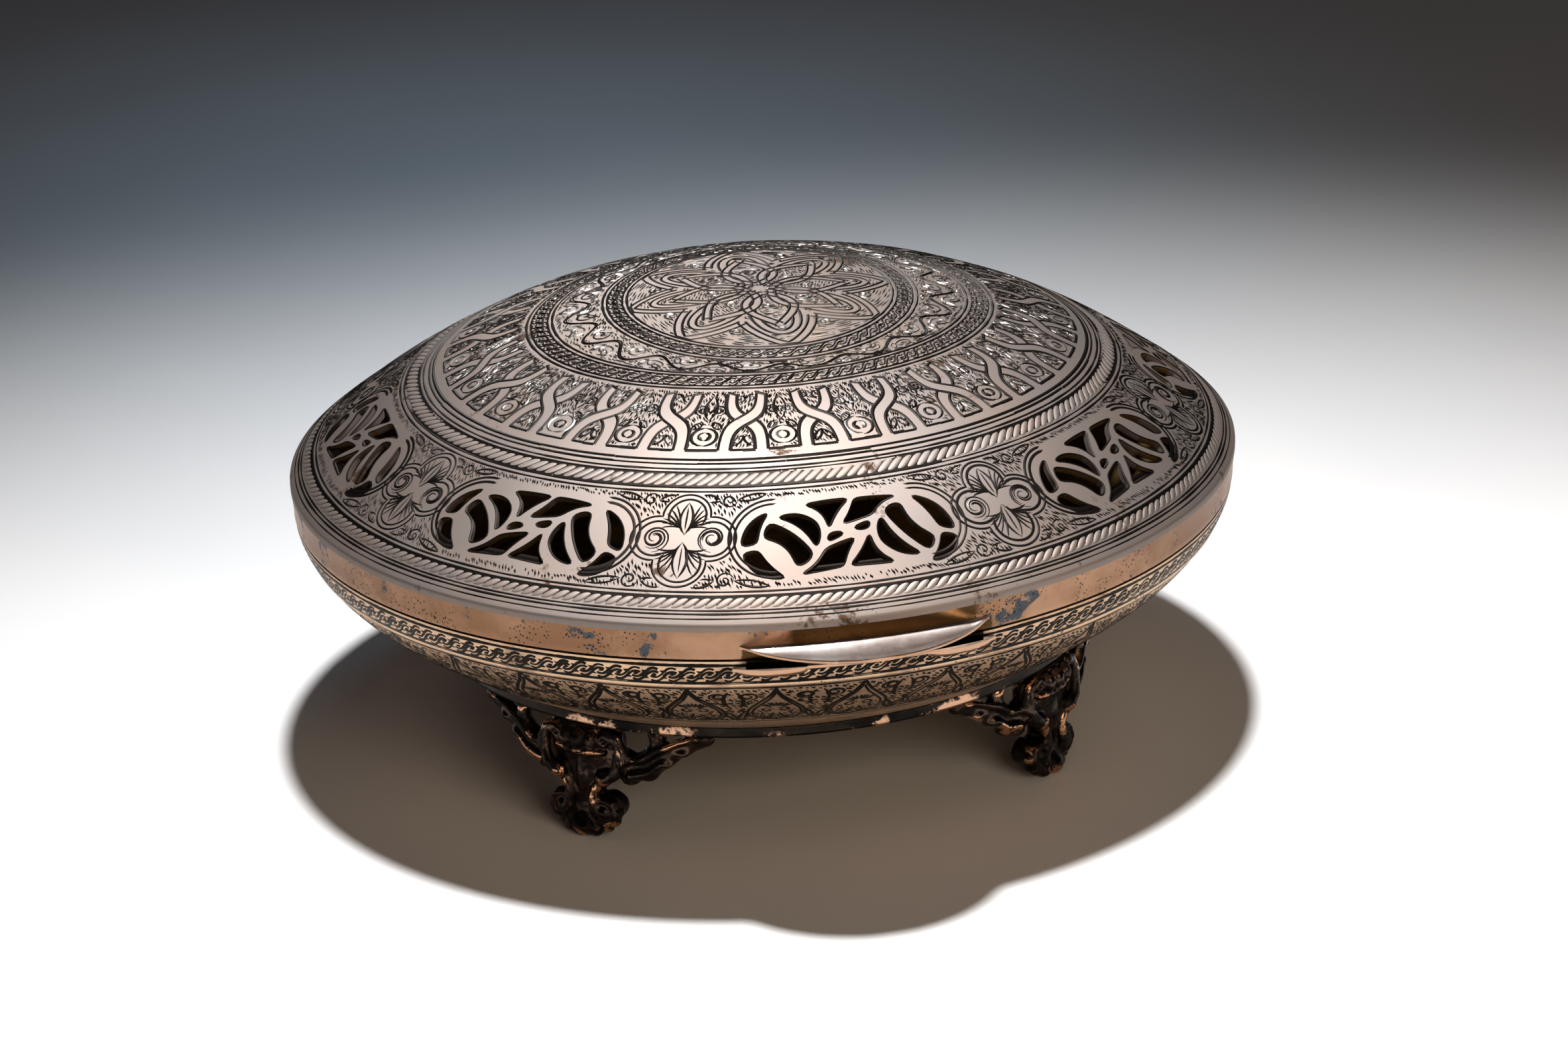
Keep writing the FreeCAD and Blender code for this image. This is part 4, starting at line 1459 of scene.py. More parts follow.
@dataclass
class Lid:
    """Domed lid: pierced shell, engraving, rope rings, plain band and thumb piece."""

    finishes: Finishes
    surface: LidSurface
    rim: Rim = field(default_factory=Rim)
    sheet: float = 1.2
    columns: int = 256
    edge_round: float = 0.9
    band_sheet: float = 1.4
    saw_round: float = 0.09
    rope_height: float = 0.045
    # Darkening of the band: a dark patch across its front, and painted shade below the thumb piece.
    dark_patch_at: float = 3.0
    dark_patch_half: float = 17.0
    painted_shade_top: float = 51.0
    painted_shade_reach: float = 22.0

    def sector(self) -> tuple[Array, Array, list[Array]]:
        """Triangles of one eighth of the pierced zone, along the zone and outwards.

        Returns:
            The points, the triangles, and for each opening the numbers of its outline's points.
        """
        rim = self.rim
        steps = self.columns // rim.count
        half = rim.pitch / 2
        low, high = rim.inner - rim.middle, rim.outer - rim.middle
        levels, clear = 12, 0.6
        along = np.linspace(-half, half, steps + 1)
        across = np.linspace(low, high, levels)
        border = joined(zipped(along, np.full_like(along, low)),
                        zipped(np.full(levels - 1, half), across[1:]),
                        zipped(along[::-1][1:], np.full(steps, high)),
                        zipped(np.full(levels - 2, -half), across[::-1][1:-1]))
        rings = rim.openings(self.surface.slope(rim.middle), self.saw_round)
        gx, gy = np.meshgrid(np.arange(-half + 1.2, half - clear, 1.35), np.arange(low + 1.1, high - clear, 1.25))
        fill = zipped(gx.ravel() + 0.3 * (np.arange(gx.size) % 2), gy.ravel())
        for ring in rings:
            away = np.sqrt(((fill[:, None] - ring[None]) ** 2).sum(-1)).min(1)
            fill = fill[(away > clear) & ~inside(ring, fill)]
        loops = [border, *rings]
        points = joined(*loops, fill)
        edges, number, starts = [], 0, []
        for loop in loops:
            starts.append(number)
            edges += [(number + i, number + (i + 1) % len(loop)) for i in range(len(loop))]
            number += len(loop)
        made = delaunay_2d_cdt([Vector(p) for p in points.tolist()], edges, [], 1, 1e-5)
        out = np.array([tuple(v) for v in made[0]])
        triangles = np.array([list(f) for f in made[2] if len(f) == 3])
        centres = out[triangles].mean(1)
        for ring in rings:
            keep = ~inside(ring, centres)
            triangles, centres = triangles[keep], centres[keep]
        origin = {old: new for new, olds in enumerate(made[3]) for old in olds}
        numbers = [np.array([origin[start + i] for i in range(len(ring))])
                   for start, ring in zip(starts[1:], rings)]
        return out, triangles, numbers

    def shell(self) -> Object:
        """The pierced dome, with walls in its openings and a turned-down rim.

        Returns:
            The object.
        """
        lid, rim = self.surface, self.rim
        theta = FRONT - math.pi / rim.count + circle(self.columns)
        points, blocks, count = [], [], 0

        def add(block: Array, *faces: Array) -> None:
            """Take over vertices and the faces on them."""
            nonlocal count
            points.append(block.reshape(-1, 3))
            blocks.extend(f + count for f in faces)
            count += len(points[-1])

        fall = lid.slope(lid.radius)
        nx, nz = math.sqrt(fall ** 2 - 1) / fall, 1 / fall
        hub_z = (self.edge_round * nx - self.edge_round) / nz
        last = lid.radius - self.edge_round + self.edge_round * nx
        centre = joined([0.35, 1.0], np.linspace(2.0, rim.inner, 58))
        skirt = joined(np.linspace(rim.outer, last - 0.6, 6), [last])
        inner_edge = lid.radius - self.sheet
        for lift in (0.0, -self.sheet):
            top = lift == 0.0
            rows = lid.point(centre[:, None], theta[None], lift)
            add(rows, grid_faces(len(centre), self.columns, True, 0, top))
            pole = lid.point(np.array([1e-4]), np.array([0.0]), lift)
            fan = zipped(np.full(self.columns, self.columns), np.arange(self.columns),
                         (np.arange(self.columns) + 1) % self.columns)
            add(joined(rows[0], pole), fan if top else fan[:, ::-1])
            reach = skirt if top else np.minimum(skirt, inner_edge - 0.3)
            rows = lid.point(reach[:, None], theta[None], lift)
            if top:
                turn = np.linspace(math.atan2(nz, nx), 0, 7)[1:]
                r = joined(lid.radius - self.edge_round + self.edge_round * np.cos(turn), [lid.radius])
                z = joined(lid.crease + hub_z + self.edge_round * np.sin(turn), [lid.low[2]])
            else:
                r, z = np.array([inner_edge, inner_edge]), np.array([lid.low[2] + 0.4, lid.low[2]])
            wall = lid.at(r[:, None], theta, z[:, None])
            rows = joined(rows, wall)
            add(rows, grid_faces(len(rows), self.columns, True, 0, top))
            lip = wall[-1:] if top else joined(lip, wall[-1:])
        add(lip, grid_faces(2, self.columns, True, 0, True))
        flat, triangles, rings = self.sector()
        slim = rim.openings(lid.slope(rim.middle), 0.0)
        for k in range(rim.count):
            turn = FRONT + k * math.tau / rim.count
            for lift in (0.0, -self.sheet):
                rows = lid.point(rim.middle + flat[:, 1], turn + flat[:, 0] / rim.middle, lift)
                add(rows, triangles[:, ::-1] if lift == 0.0 else triangles)
            for ring, narrow in zip(rings, slim):
                wide = flat[ring]
                stack = [lid.point(rim.middle + loop[:, 1], turn + loop[:, 0] / rim.middle, lift)
                         for loop, lift in ((wide, 0.0), (narrow, -self.saw_round),
                                            (narrow, self.saw_round - self.sheet), (wide, -self.sheet))]
                add(np.stack(stack), grid_faces(4, len(ring), True))
        vertices, faces = welded(np.concatenate(points), blocks)
        triangles = [f for f in faces if f.shape[1] == 3]
        quads = [f for f in faces if f.shape[1] == 4]
        made = outwards(mesh_object("pierced_dome", vertices, [np.concatenate(triangles), np.concatenate(quads)],
                                    [self.finishes.lid, self.finishes.inside], None, 28.0))
        self.gild_inside(made)
        return made

    @staticmethod
    def gild_inside(piece: Object) -> None:
        """Give the faces that look down into the box the inside finish.

        Args:
            piece: the pierced dome.
        """
        mesh = piece.data
        normals = np.zeros(len(mesh.polygons) * 3)
        mesh.polygons.foreach_get("normal", normals)
        number = (normals.reshape(-1, 3)[:, 2] < -0.3).astype(np.int32)
        mesh.polygons.foreach_set("material_index", number)

    def engrave(self) -> list[Object]:
        """All the engraving of the dome.

        Returns:
            One object for each zone.
        """
        lid, rim = self.surface, self.rim
        middle = Engraving(lid, 0.15, 21, 1.65, 1.0)
        disc = Band(lid, 0.0, 24.2, 8)
        middle.repeat(disc, rosette(disc), error=0.03)
        for inner, outer, count in ((24.4, 28.9, 34), (38.4, 43.2, 52)):
            chain = Band(lid, inner, outer, count)
            middle.repeat(chain, guilloche(chain), error=0.03)
            for s, width in ((inner, 0.34), (inner + 0.85, 0.28), (outer - 0.85, 0.28), (outer, 0.34)):
                middle.ring(s, width)
        stem = Band(lid, 29.2, 38.2, 18)
        middle.repeat(stem, vine(stem))
        frieze = Engraving(lid, 0.1, 22, 1.7, 0.5)
        broad = Band(lid, 43.6, 62.2, 24)
        frieze.repeat(broad, shafts(broad), True, error=0.05)
        border = Engraving(lid, 0.07, 23, 1.65, 0.2)
        for s, width in ((62.5, 0.26), (63.15, 0.2), (66.15, 0.2), (66.9, 0.26), (83.0, 0.24), (83.6, 0.2),
                         (85.8, 0.2), (86.3, 0.24), (87.0, 0.16)):
            border.ring(s, width)
        zone = Band(lid, rim.inner, rim.outer, rim.count)
        border.repeat(zone, rim.sketch(zone), error=0.04)
        return [middle.make("lid_rosette_cuts", self.finishes.cuts), frieze.make("lid_frieze_cuts", self.finishes.cuts),
                border.make("lid_border_cuts", self.finishes.cuts)]

    def rope_strand(self, reach: float, pitch: float) -> Object:
        """One slanted strand of a rope ring, as a low raised pad.

        Args:
            reach: length across the ring.
            pitch: distance from strand to strand.

        Returns:
            The strand, flat at the origin, and kept out of the scene.
        """
        sides, tall = 12, self.rope_height
        t = circle(sides)
        across = reach / 2 * np.sign(np.sin(t)) * np.abs(np.sin(t)) ** 0.7
        along = 0.455 * pitch * np.sign(np.cos(t)) * np.abs(np.cos(t)) ** 0.7 + 1.05 * across
        rings = [zipped(along * size, across * size, np.full(sides, z))
                 for size, z in ((1.0, -0.08), (0.99, tall * 0.7), (0.96, tall))]
        cap = np.arange(2 * sides, 3 * sides)[None]
        made = mesh_object("rope_strand", joined(*rings), [grid_faces(3, sides, True), cap], [self.finishes.lid])
        bpy.context.scene.collection.objects.unlink(made)
        return made

    def ropes(self, links: LinkRun) -> list[Object]:
        """The two rope rings, each a dark channel with raised strands in it.

        Args:
            links: the node tree that sets the strands.

        Returns:
            The pieces.
        """
        made = []
        for name, s, reach, count in (("inner_rope", 64.65, 2.5, 204), ("outer_rope", 84.7, 1.9, 262)):
            pitch = self.surface.round(s) / count
            strand = self.rope_strand(reach, pitch)
            made.append(links.run(name, self.surface, s, 0.02, strand, count, self.finishes.lid))
            bpy.data.objects.remove(strand)
            channel = Engraving(self.surface, 0.015)
            theta = circle(RING_STEPS)[None]
            channel.cut(np.full_like(theta, s), theta, np.full_like(theta, 0.44 * reach), True)
            made.append(channel.make(name + "_channel", self.finishes.cuts))
        return made

    def band(self) -> Object:
        """The plain upright band under the dome, a little uneven, with a dark patch on its front and painted shade
        under the thumb piece.

        Returns:
            The object.
        """
        oval = Oval(*node_box("lid_band"))
        low, high, radius, taper = oval.low, oval.high, oval.radius, 0.4
        wall = [(radius - taper - self.band_sheet, low[2] + 0.2), (radius - self.band_sheet, high[2])]
        face = [(radius, high[2])]
        for t in np.linspace(0.06, 0.9, 7):
            face.append((radius - taper * t - 0.1 * math.sin(math.pi * t), high[2] + (low[2] - high[2]) * t))
        foot = [(radius - taper - 0.12, low[2] + 0.08), (radius - taper - 0.35, low[2]),
                (radius - taper - self.band_sheet + 0.3, low[2])]
        points, faces = oval.spin(wall + face + foot, self.columns)
        made = outwards(mesh_object("plain_band", points, [faces], [self.finishes.band], None, 35.0))
        # Painted shade: the band turns near black below the thumb piece, where it lies in the thumb piece's shadow; a
        # dark patch also spreads across the front.
        across = np.abs(points[:, 0] - self.dark_patch_at) / self.dark_patch_half
        under = (points[:, 2] < self.painted_shade_top) & (np.abs(points[:, 0]) < self.painted_shade_reach)
        shade = np.where(points[:, 1] < 0, np.maximum(np.clip(1.35 - across ** 2, 0, 0.8), under), 0.0)
        mark(made, "wear_and_shade", shade)
        return made

    def thumb_piece(self) -> Object:
        """The dished crescent tongue that lifts the lid.

        Returns:
            The object, with its edge marked as worn.
        """
        low, high = node_box("thumb_piece")
        band = Oval(*node_box("lid_band"))
        half = (high[0] - low[0]) / 2
        rows, columns = 49, 11
        a = np.sin(np.linspace(-math.pi / 2, math.pi / 2, rows))
        x = a * half
        wall = band.front(x) + 0.25
        rise = wall[0] - low[1]
        radius = (half ** 2 + rise ** 2) / (2 * rise)
        edge = low[1] + radius - np.sqrt(np.maximum(radius ** 2 - x ** 2, 0))
        b = np.linspace(0, 1, columns)
        thick = high[2] - low[2]
        body = np.clip((wall - edge) / 3.0, 0.12, 1)[:, None]
        dish = 0.75 * np.sin(math.pi * np.clip(b * 1.06, 0, 1)) ** 0.8
        y = wall[:, None] + (edge - wall)[:, None] * b
        top = high[2] - dish * body
        bottom = low[2] + (1 - body) * thick * 0.5 + 0.45 * thick * b[None] ** 4
        rim_z = np.full((rows, 1), high[2] - 0.3 * thick)
        loop_y = np.concatenate([y, edge[:, None] - 0.12 * body, y[:, ::-1]], 1)
        loop_z = np.concatenate([top, rim_z, np.broadcast_to(bottom, top.shape)[:, ::-1]], 1)
        loop_y = np.maximum(loop_y, low[1])
        points, blocks = lofted(x, loop_y, loop_z)
        made = outwards(mesh_object("thumb_tongue", points, blocks, [self.finishes.thumb], None, 60.0))
        share = np.zeros(loop_y.shape[1])
        share[columns - 1:columns + 2] = 0.85
        share[columns + 2:] = 0.6
        mark(made, "wear_and_shade", np.tile(share, rows))
        return made

    def build(self, links: LinkRun) -> None:
        """Make the lid's pieces and hand them to the frame.

        Args:
            links: the node tree that sets the strands.
        """
        dressed(self.shell(), "lid", Slot.LID, "lid_dome")
        for piece in self.engrave() + self.ropes(links):
            dressed(piece, "lid", Slot.LID)
        dressed(self.band(), "lid", Slot.PLAIN, "lid_band")
        dressed(self.thumb_piece(), "lid", Slot.PLAIN, "thumb_piece")


@dataclass
class Bowl:
    """Engraved bowl, with the bezel in its mouth, the lip at the front and the black strip it stands on."""

    finishes: Finishes
    surface: BowlSurface
    sheet: float = 1.3
    columns: int = 256
    ridge_at: float = 0.235
    ridge_height: float = 0.17
    ridge_half: float = 0.016
    chain_links: int = 84
    lancets: int = 34
    lobe_at: float = 16.6
    lobe_half: float = 5.9
    bezel_sheet: float = 1.0
    bezel_columns: int = 192

    def shell(self) -> Object:
        """The raised bowl with a fine ridge under its chain border.

        Returns:
            The object.
        """
        wall = self.surface
        theta = FRONT + circle(self.columns)
        near_ridge = self.ridge_at + self.ridge_half * np.linspace(-2, 2, 9)
        share = np.sort(joined(np.linspace(0, 1, 40), near_ridge))
        bead = self.ridge_height * np.exp(-((share - self.ridge_at) / self.ridge_half) ** 2)
        outer = wall.point(share[:, None], theta[None], bead[:, None])
        depth = np.linspace(1, 0, 24)
        inner = wall.point(depth[:, None], theta[None], -self.sheet)
        inner[-1, :, 2] = wall.high[2]
        seat = inner[:1] + (inner[:1] - inner[1:2]) * 0.9
        seat[..., 2] = wall.low[2]
        rows = joined(outer, seat, inner, outer[:1])
        points = rows.reshape(-1, 3)
        faces = grid_faces(len(rows), self.columns, True)
        hidden = len(outer) * self.columns
        points, blocks = welded(points, [faces[:hidden], faces[hidden:]])
        metals = [self.finishes.bowl, self.finishes.inside]
        return outwards(mesh_object("raised_bowl", points, blocks, metals, (0, 1), 45.0))

    def engrave(self) -> Object:
        """The chain border and the frieze of lancets.

        Returns:
            The object.
        """
        cuts = Engraving(self.surface, 0.05, 31, 1.95, 0.15)
        chain = Band(self.surface, 0.045, 0.2, self.chain_links)
        cuts.repeat(chain, guilloche(chain, 0.4, 0.42), error=0.04)
        for s, width in ((0.03, 0.26), (0.198, 0.22), (0.215, 0.3), (0.262, 0.34), (0.8, 0.26)):
            cuts.ring(s, width)
        frieze = Band(self.surface, 0.27, 0.78, self.lancets)
        cuts.repeat(frieze, lancet(frieze), error=0.08)
        return cuts.make("bowl_frieze_cuts", self.finishes.bowl_cuts)

    def finger_lip(self) -> Object:
        """The two dished lobes under the thumb piece, and a black sheet behind them that is painted shade under the
        thumb piece.

        Returns:
            The object, with its edge marked as worn.
        """
        low, high = node_box("finger_lip")
        wall = self.surface
        span, reach = (high[0] - low[0]) / 2, -low[1] - wall.radius * wall.ratio + wall.centre_y
        rows, columns = 81, 9
        x = np.linspace(-span + 0.05, span - 0.05, rows)
        root = wall.front(x)
        lobe = np.sqrt(np.maximum(1 - ((np.abs(x) - self.lobe_at) / self.lobe_half) ** 2, 0))
        edge = root - 0.3 - (reach - 1.0) * lobe
        b = np.linspace(0, 1, columns)
        y = root[:, None] + 0.1 + (edge - root - 0.1)[:, None] * b
        body = np.clip((root - edge) / 2.2, 0.1, 1)[:, None]
        top = high[2] - 0.5 - 1.2 * np.sin(math.pi * b ** 0.8) * body - 0.3 * (1 - body) + 0.4 * b ** 5 * body
        under = np.maximum(top - 0.5, low[2] - 0.5)
        loop_y = np.concatenate([y, y[:, ::-1]], 1)
        loop_z = np.concatenate([top, under[:, ::-1]], 1)
        points, blocks = lofted(x, loop_y, loop_z)
        # A sheet of painted shade: a black strip standing just in front of the bowl wall behind the lobes, where the
        # thumb piece throws its shadow.
        shade_sheet = np.stack([zipped(x, root + dy, np.full(rows, z))
                           for dy, z in ((-0.14, low[2] + 0.3), (-0.16, high[2] + 0.55), (0.5, high[2] + 0.65),
                                         (0.1, low[2] + 0.3))], 1)
        shade_sheet = shade_sheet[np.abs(x) < self.lobe_at + 0.85 * self.lobe_half]
        start = len(points)
        points = joined(points, shade_sheet.reshape(-1, 3))
        last = start + 4 * (len(shade_sheet) - 1)
        caps = [np.arange(start, start + 4)[None, ::-1], np.arange(last, last + 4)[None]]
        blocks += [grid_faces(len(shade_sheet), 4, True, start), *caps]
        # The second finish, the black strip's, colours the sheet of painted shade.
        metals = [self.finishes.thumb, self.finishes.base]
        made = outwards(mesh_object("finger_lobes", points, blocks, metals, (0, 0, 0, 1, 1, 1), 60.0))
        share = np.zeros(2 * columns)
        share[columns - 1:columns + 1] = 1.0
        share[columns + 1:] = 0.7
        mark(made, "wear_and_shade", joined(np.tile(share, rows), np.zeros(4 * len(shade_sheet))))
        return made

    def bezel(self) -> Object:
        """The inner rim that the lid closes over, with a rounded top.

        Returns:
            The object.
        """
        oval = Oval(*node_box("mouth_bezel"))
        low, high, outer = oval.low, oval.high, oval.radius
        half, turn = self.bezel_sheet / 2, np.linspace(0, math.pi, 7)
        crown = [(outer - half + half * math.cos(a), high[2] - half + half * math.sin(a)) for a in turn]
        foot = [(outer - self.bezel_sheet, low[2]), (outer, low[2])]
        points, faces = oval.spin(foot + crown, self.bezel_columns)
        return outwards(mesh_object("mouth_rim", points, [faces], [self.finishes.inside]))

    def base_strip(self) -> Object:
        """The black strip under the bowl, worn through in places.

        Returns:
            The object.
        """
        oval = Oval(*node_box("base_ring"))
        low, high, outer, tall = oval.low, oval.high, oval.radius, oval.tall
        face = [(outer - 0.5, low[2]), (outer - 0.15, low[2] + 0.12), (outer, low[2] + 0.45),
                (outer, low[2] + 0.3 * tall), (outer - 0.1, low[2] + 0.5 * tall), (outer, low[2] + 0.7 * tall),
                (outer - 0.05, high[2] - 0.2), (outer - 0.3, high[2])]
        inner, seat, plate = outer - 5.2, outer - 3.0, 1.0
        profile = [(inner, low[2])] + face + [(seat, high[2]), (seat, high[2] - plate), (inner, high[2] - plate)]
        points, faces = oval.spin(profile, self.columns)
        made = outwards(mesh_object("base_strip", points, [faces], [self.finishes.base]))
        theta = np.arctan2(points[:, 1], points[:, 0])
        patch = 0.5 + 0.3 * np.sin(theta * 13 + 1.0) * np.sin(theta * 7.0) - 0.3 * (points[:, 2] - low[2]) / tall
        mark(made, "wear_and_shade", np.clip(patch, 0, 1))
        return made

    def build(self) -> None:
        """Make the bowl's pieces and hand them to the frame."""
        dressed(self.shell(), "box", Slot.BOWL, "bowl_shell")
        dressed(self.engrave(), "box", Slot.BOWL)
        dressed(self.finger_lip(), "box", Slot.PLAIN, "finger_lip")
        dressed(self.bezel(), "box", Slot.INSIDE, "mouth_bezel")
        dressed(self.base_strip(), "box", Slot.BASE, "base_ring")


@dataclass
class Clay:
    """A form built up from strokes in a grid of distances, then given a skin."""

    low: Sequence[float]
    high: Sequence[float]
    step: float
    softness: float = 0.8

    def __post_init__(self) -> None:
        """Start with nothing."""
        axes = [np.arange(a, b + self.step, self.step) for a, b in zip(self.low, self.high)]
        self.x, self.y, self.z = np.meshgrid(*axes, indexing="ij")
        self.values = np.full(self.x.shape, 1e2)

    def put(self, distance: Array) -> None:
        """Add a form.

        Args:
            distance: distances to it on the grid.
        """
        share = np.clip(0.5 + 0.5 * (self.values - distance) / self.softness, 0, 1)
        blend = self.values + (distance - self.values) * share
        self.values = blend - self.softness * share * (1 - share)

    def take(self, distance: Array) -> None:
        """Cut a form away.

        Args:
            distance: distances to it on the grid.
        """
        self.values = -self.values
        self.put(distance)
        self.values = -self.values

    def stroke(self, path: Sequence[Sequence[float]], radii: Sequence[float], flat: float = 1.0) -> Array:
        """Distances to a tapering stroke.

        Args:
            path: its points.
            radii: its radius at each point.
            flat: depth over width of its section.

        Returns:
            The distances on the grid.
        """
        best = np.full(self.x.shape, 1e2)
        knots = list(zip(path, radii))
        for (a, ra), (b, rb) in zip(knots, knots[1:]):
            way = [q - p for p, q in zip(a, b)]
            size = max(sum(c * c for c in way), 1e-9)
            off = [self.x - a[0], self.y - a[1], self.z - a[2]]
            t = np.clip((off[0] * way[0] + off[1] * way[1] + off[2] * way[2]) / size, 0, 1)
            gap = np.sqrt((off[0] - t * way[0]) ** 2 + ((off[1] - t * way[1]) / flat) ** 2
                          + (off[2] - t * way[2]) ** 2)
            best = np.minimum(best, gap - ra - (rb - ra) * t)
        return best

    def egg(self, centre: Sequence[float], radii: Sequence[float]) -> Array:
        """Distances to an ellipsoid."""
        x, y, z = ((g - c) / r for g, c, r in zip((self.x, self.y, self.z), centre, radii))
        return (np.sqrt(x ** 2 + y ** 2 + z ** 2) - 1) * min(radii)

    def fullness(self, reach: int) -> Array:
        """Share of the space round each grid point that is filled.

        Args:
            reach: grid steps to each side.

        Returns:
            The shares on the grid.
        """
        solid = (self.values < 0).astype(float)
        for axis in range(3):
            total = np.cumsum(np.concatenate([np.zeros_like(solid.take([0], axis)), solid], axis), axis)
            count = solid.shape[axis]
            ahead = np.minimum(np.arange(count) + reach + 1, count)
            behind = np.maximum(np.arange(count) - reach, 0)
            solid = (total.take(ahead, axis) - total.take(behind, axis)) / (2 * reach + 1)
        return solid

    def skin(self) -> tuple[Array, Array, Array]:
        """Surface of the form.

        Returns:
            The vertices, the quads, and the grid cell of each vertex.
        """
        f = self.values
        n = np.array(f.shape) - 1
        offsets = [(i, j, k) for i in (0, 1) for j in (0, 1) for k in (0, 1)]
        corner = {o: f[o[0]:o[0] + n[0], o[1]:o[1] + n[1], o[2]:o[2] + n[2]] for o in offsets}
        count = sum((c < 0).astype(int) for c in corner.values())
        active = (count > 0) & (count < 8)
        number = np.full(n, -1)
        number[active] = np.arange(active.sum())
        total = np.zeros((active.sum(), 3))
        hits = np.zeros(active.sum())
        for a in offsets:
            for axis in range(3):
                if a[axis]:
                    continue
                b = tuple(1 if i == axis else v for i, v in enumerate(a))
                fa, fb = corner[a][active], corner[b][active]
                cross = (fa < 0) != (fb < 0)
                t = fa[cross] / (fa[cross] - fb[cross])
                place = np.tile(np.array(a, float), (len(t), 1))
                place[:, axis] += t
                total[cross] += place
                hits[cross] += 1
        cells = np.argwhere(active)
        points = np.array(self.low) + self.step * (cells + total / hits[:, None])
        quads = []
        for axis in range(3):
            u, v = (axis + 1) % 3, (axis + 2) % 3
            first = np.moveaxis(f < 0, (axis, u, v), (0, 1, 2))
            change = first[:-1, 1:-1, 1:-1] != first[1:, 1:-1, 1:-1]
            ids = np.moveaxis(number, (axis, u, v), (0, 1, 2))
            i, j, k = np.nonzero(change)
            j, k = j + 1, k + 1
            ring = zipped(ids[i, j - 1, k - 1], ids[i, j, k - 1], ids[i, j, k], ids[i, j - 1, k])
            turn = first[i, j, k]
            quads.append(np.where(turn[:, None], ring, ring[:, ::-1]))
        return points, np.concatenate(quads), cells


@dataclass
class Foot:
    """Cast scroll foot: shell with beads, two leaf wings, ankle, volutes and toe."""

    finishes: Finishes
    height: float = 22.2
    ring_radius: float = 60.1
    ring_half_width: float = 53.7
    centre_y: float = 1.85
    grain: float = 0.3
    quick_grain: float = 0.5

    def model(self) -> tuple[Array, Array, Array]:
        """Model the foot at the origin, facing the front.

        Returns:
            The vertices, the quads, and how exposed each vertex is to wear.
        """
        clay = Clay((-24.4, -5.6, -0.6), (24.4, 10.6, 22.9), self.grain)
        across = clay.y.copy()
        clay.y = clay.y - clay.x ** 2 / (2 * self.ring_radius)
        heights = (0.0, 1.5, 3.1, 6.0, 8.8, 12.0, 16.0, 19.0, self.height)
        wide = np.interp(clay.z, heights, (2.6, 3.4, 3.6, 3.1, 3.1, 5.0, 7.5, 7.9, 7.3))
        deep = np.interp(clay.z, heights, (2.4, 2.9, 3.0, 2.5, 2.4, 2.7, 3.1, 3.0, 2.6))
        column = (np.sqrt((clay.x / wide) ** 2 + (clay.y / deep) ** 2) - 1) * np.minimum(wide, deep)
        clay.put(column)
        clay.take(clay.egg((0.0, -5.3, 13.6), (4.0, 2.6, 4.4)))
        clay.take(clay.egg((0.0, -4.9, 7.6), (1.3, 2.4, 4.2)))
        for x, tall, size in ((0.0, 1.8, 1.3), (-2.7, 1.7, 1.15), (2.7, 1.7, 1.15)):
            clay.put(clay.egg((x, -3.2, 19.6), (size, 1.5, tall)))
        clay.put(clay.stroke(((-4.8, -2.9, 17.5), (-2.0, -3.3, 17.2), (2.0, -3.3, 17.2), (4.8, -2.9, 17.5)),
                             (0.4, 0.5, 0.5, 0.4)))
        clay.put(clay.stroke(((0.0, -2.6, 16.4), (0.0, -2.8, 12.5), (0.0, -2.6, 9.5)), (0.5, 0.7, 0.4)))
        for side in (-1.0, 1.0):
            self.side_scroll(clay, side)
            self.wing(clay, side)
            self.volute(clay, side)
        clay.put(clay.egg((0.0, -0.5, 2.1), (3.7, 3.2, 2.5)))
        clay.put(clay.egg((0.0, -2.7, 1.7), (1.7, 1.5, 1.5)))
        for x, y in ((-2.6, -2.2), (2.6, -2.2)):
            clay.put(clay.egg((x, y, 1.5), (1.0, 1.1, 1.3)))
        place = zipped(clay.x, across, clay.z)
        clay.values = clay.values + 0.06 * smooth_noise(place, 3.1, 41) + 0.03 * smooth_noise(place, 1.5, 42)
        clay.values = np.maximum(clay.values, np.maximum(-clay.z, clay.z - self.height))
        reach = max(2, round(0.9 / clay.step))
        full = clay.fullness(reach)
        points, quads, cells = clay.skin()
        bare = np.clip(smooth_noise(points, 6.5, 43) * 1.6 + 0.25, 0, 1)
        exposed = np.clip((0.47 - full[cells[:, 0], cells[:, 1], cells[:, 2]]) / 0.17, 0, 1) * bare
        return points, quads, exposed

    @staticmethod
    def side_scroll(clay: Clay, side: float) -> None:
        """Add the C-shaped ridge at one side of the shell, with its bulb and its top curl.

        Args:
            clay: the foot so far.
            side: 1 for the right side and -1 for the left.
        """
        path = ((5.3, -2.4, 21.2), (7.2, -2.2, 20.2), (8.1, -2.3, 18.0), (7.9, -2.6, 15.6), (6.8, -3.0, 13.6),
                (5.2, -3.1, 12.5))
        clay.put(clay.stroke([(side * x, y, z) for x, y, z in path], (0.8, 1.0, 1.2, 1.25, 1.25, 1.2)))
        clay.put(clay.egg((side * 4.5, -3.0, 12.4), (1.5, 1.2, 1.35)))
        turn = np.linspace(0.2, 5.6, 10)
        curl = [(side * (4.9 + 1.25 * (1 - t / 9) * math.cos(t)), -2.8, 19.6 + 1.35 * (1 - t / 9) * math.sin(t))
                for t in turn]
        clay.put(clay.stroke(curl, np.linspace(0.5, 0.34, len(curl))))

    @staticmethod
    def wing(clay: Clay, side: float) -> None:
        """Add one leaf wing, with the hook that holds up the strip and the lobes below.

        Args:
            clay: the foot so far.
            side: 1 for the right side and -1 for the left.
        """
        def path(*points: tuple[float, float, float]) -> list[tuple[float, float, float]]:
            """Points on this side."""
            return [(side * x, y, z) for x, y, z in points]

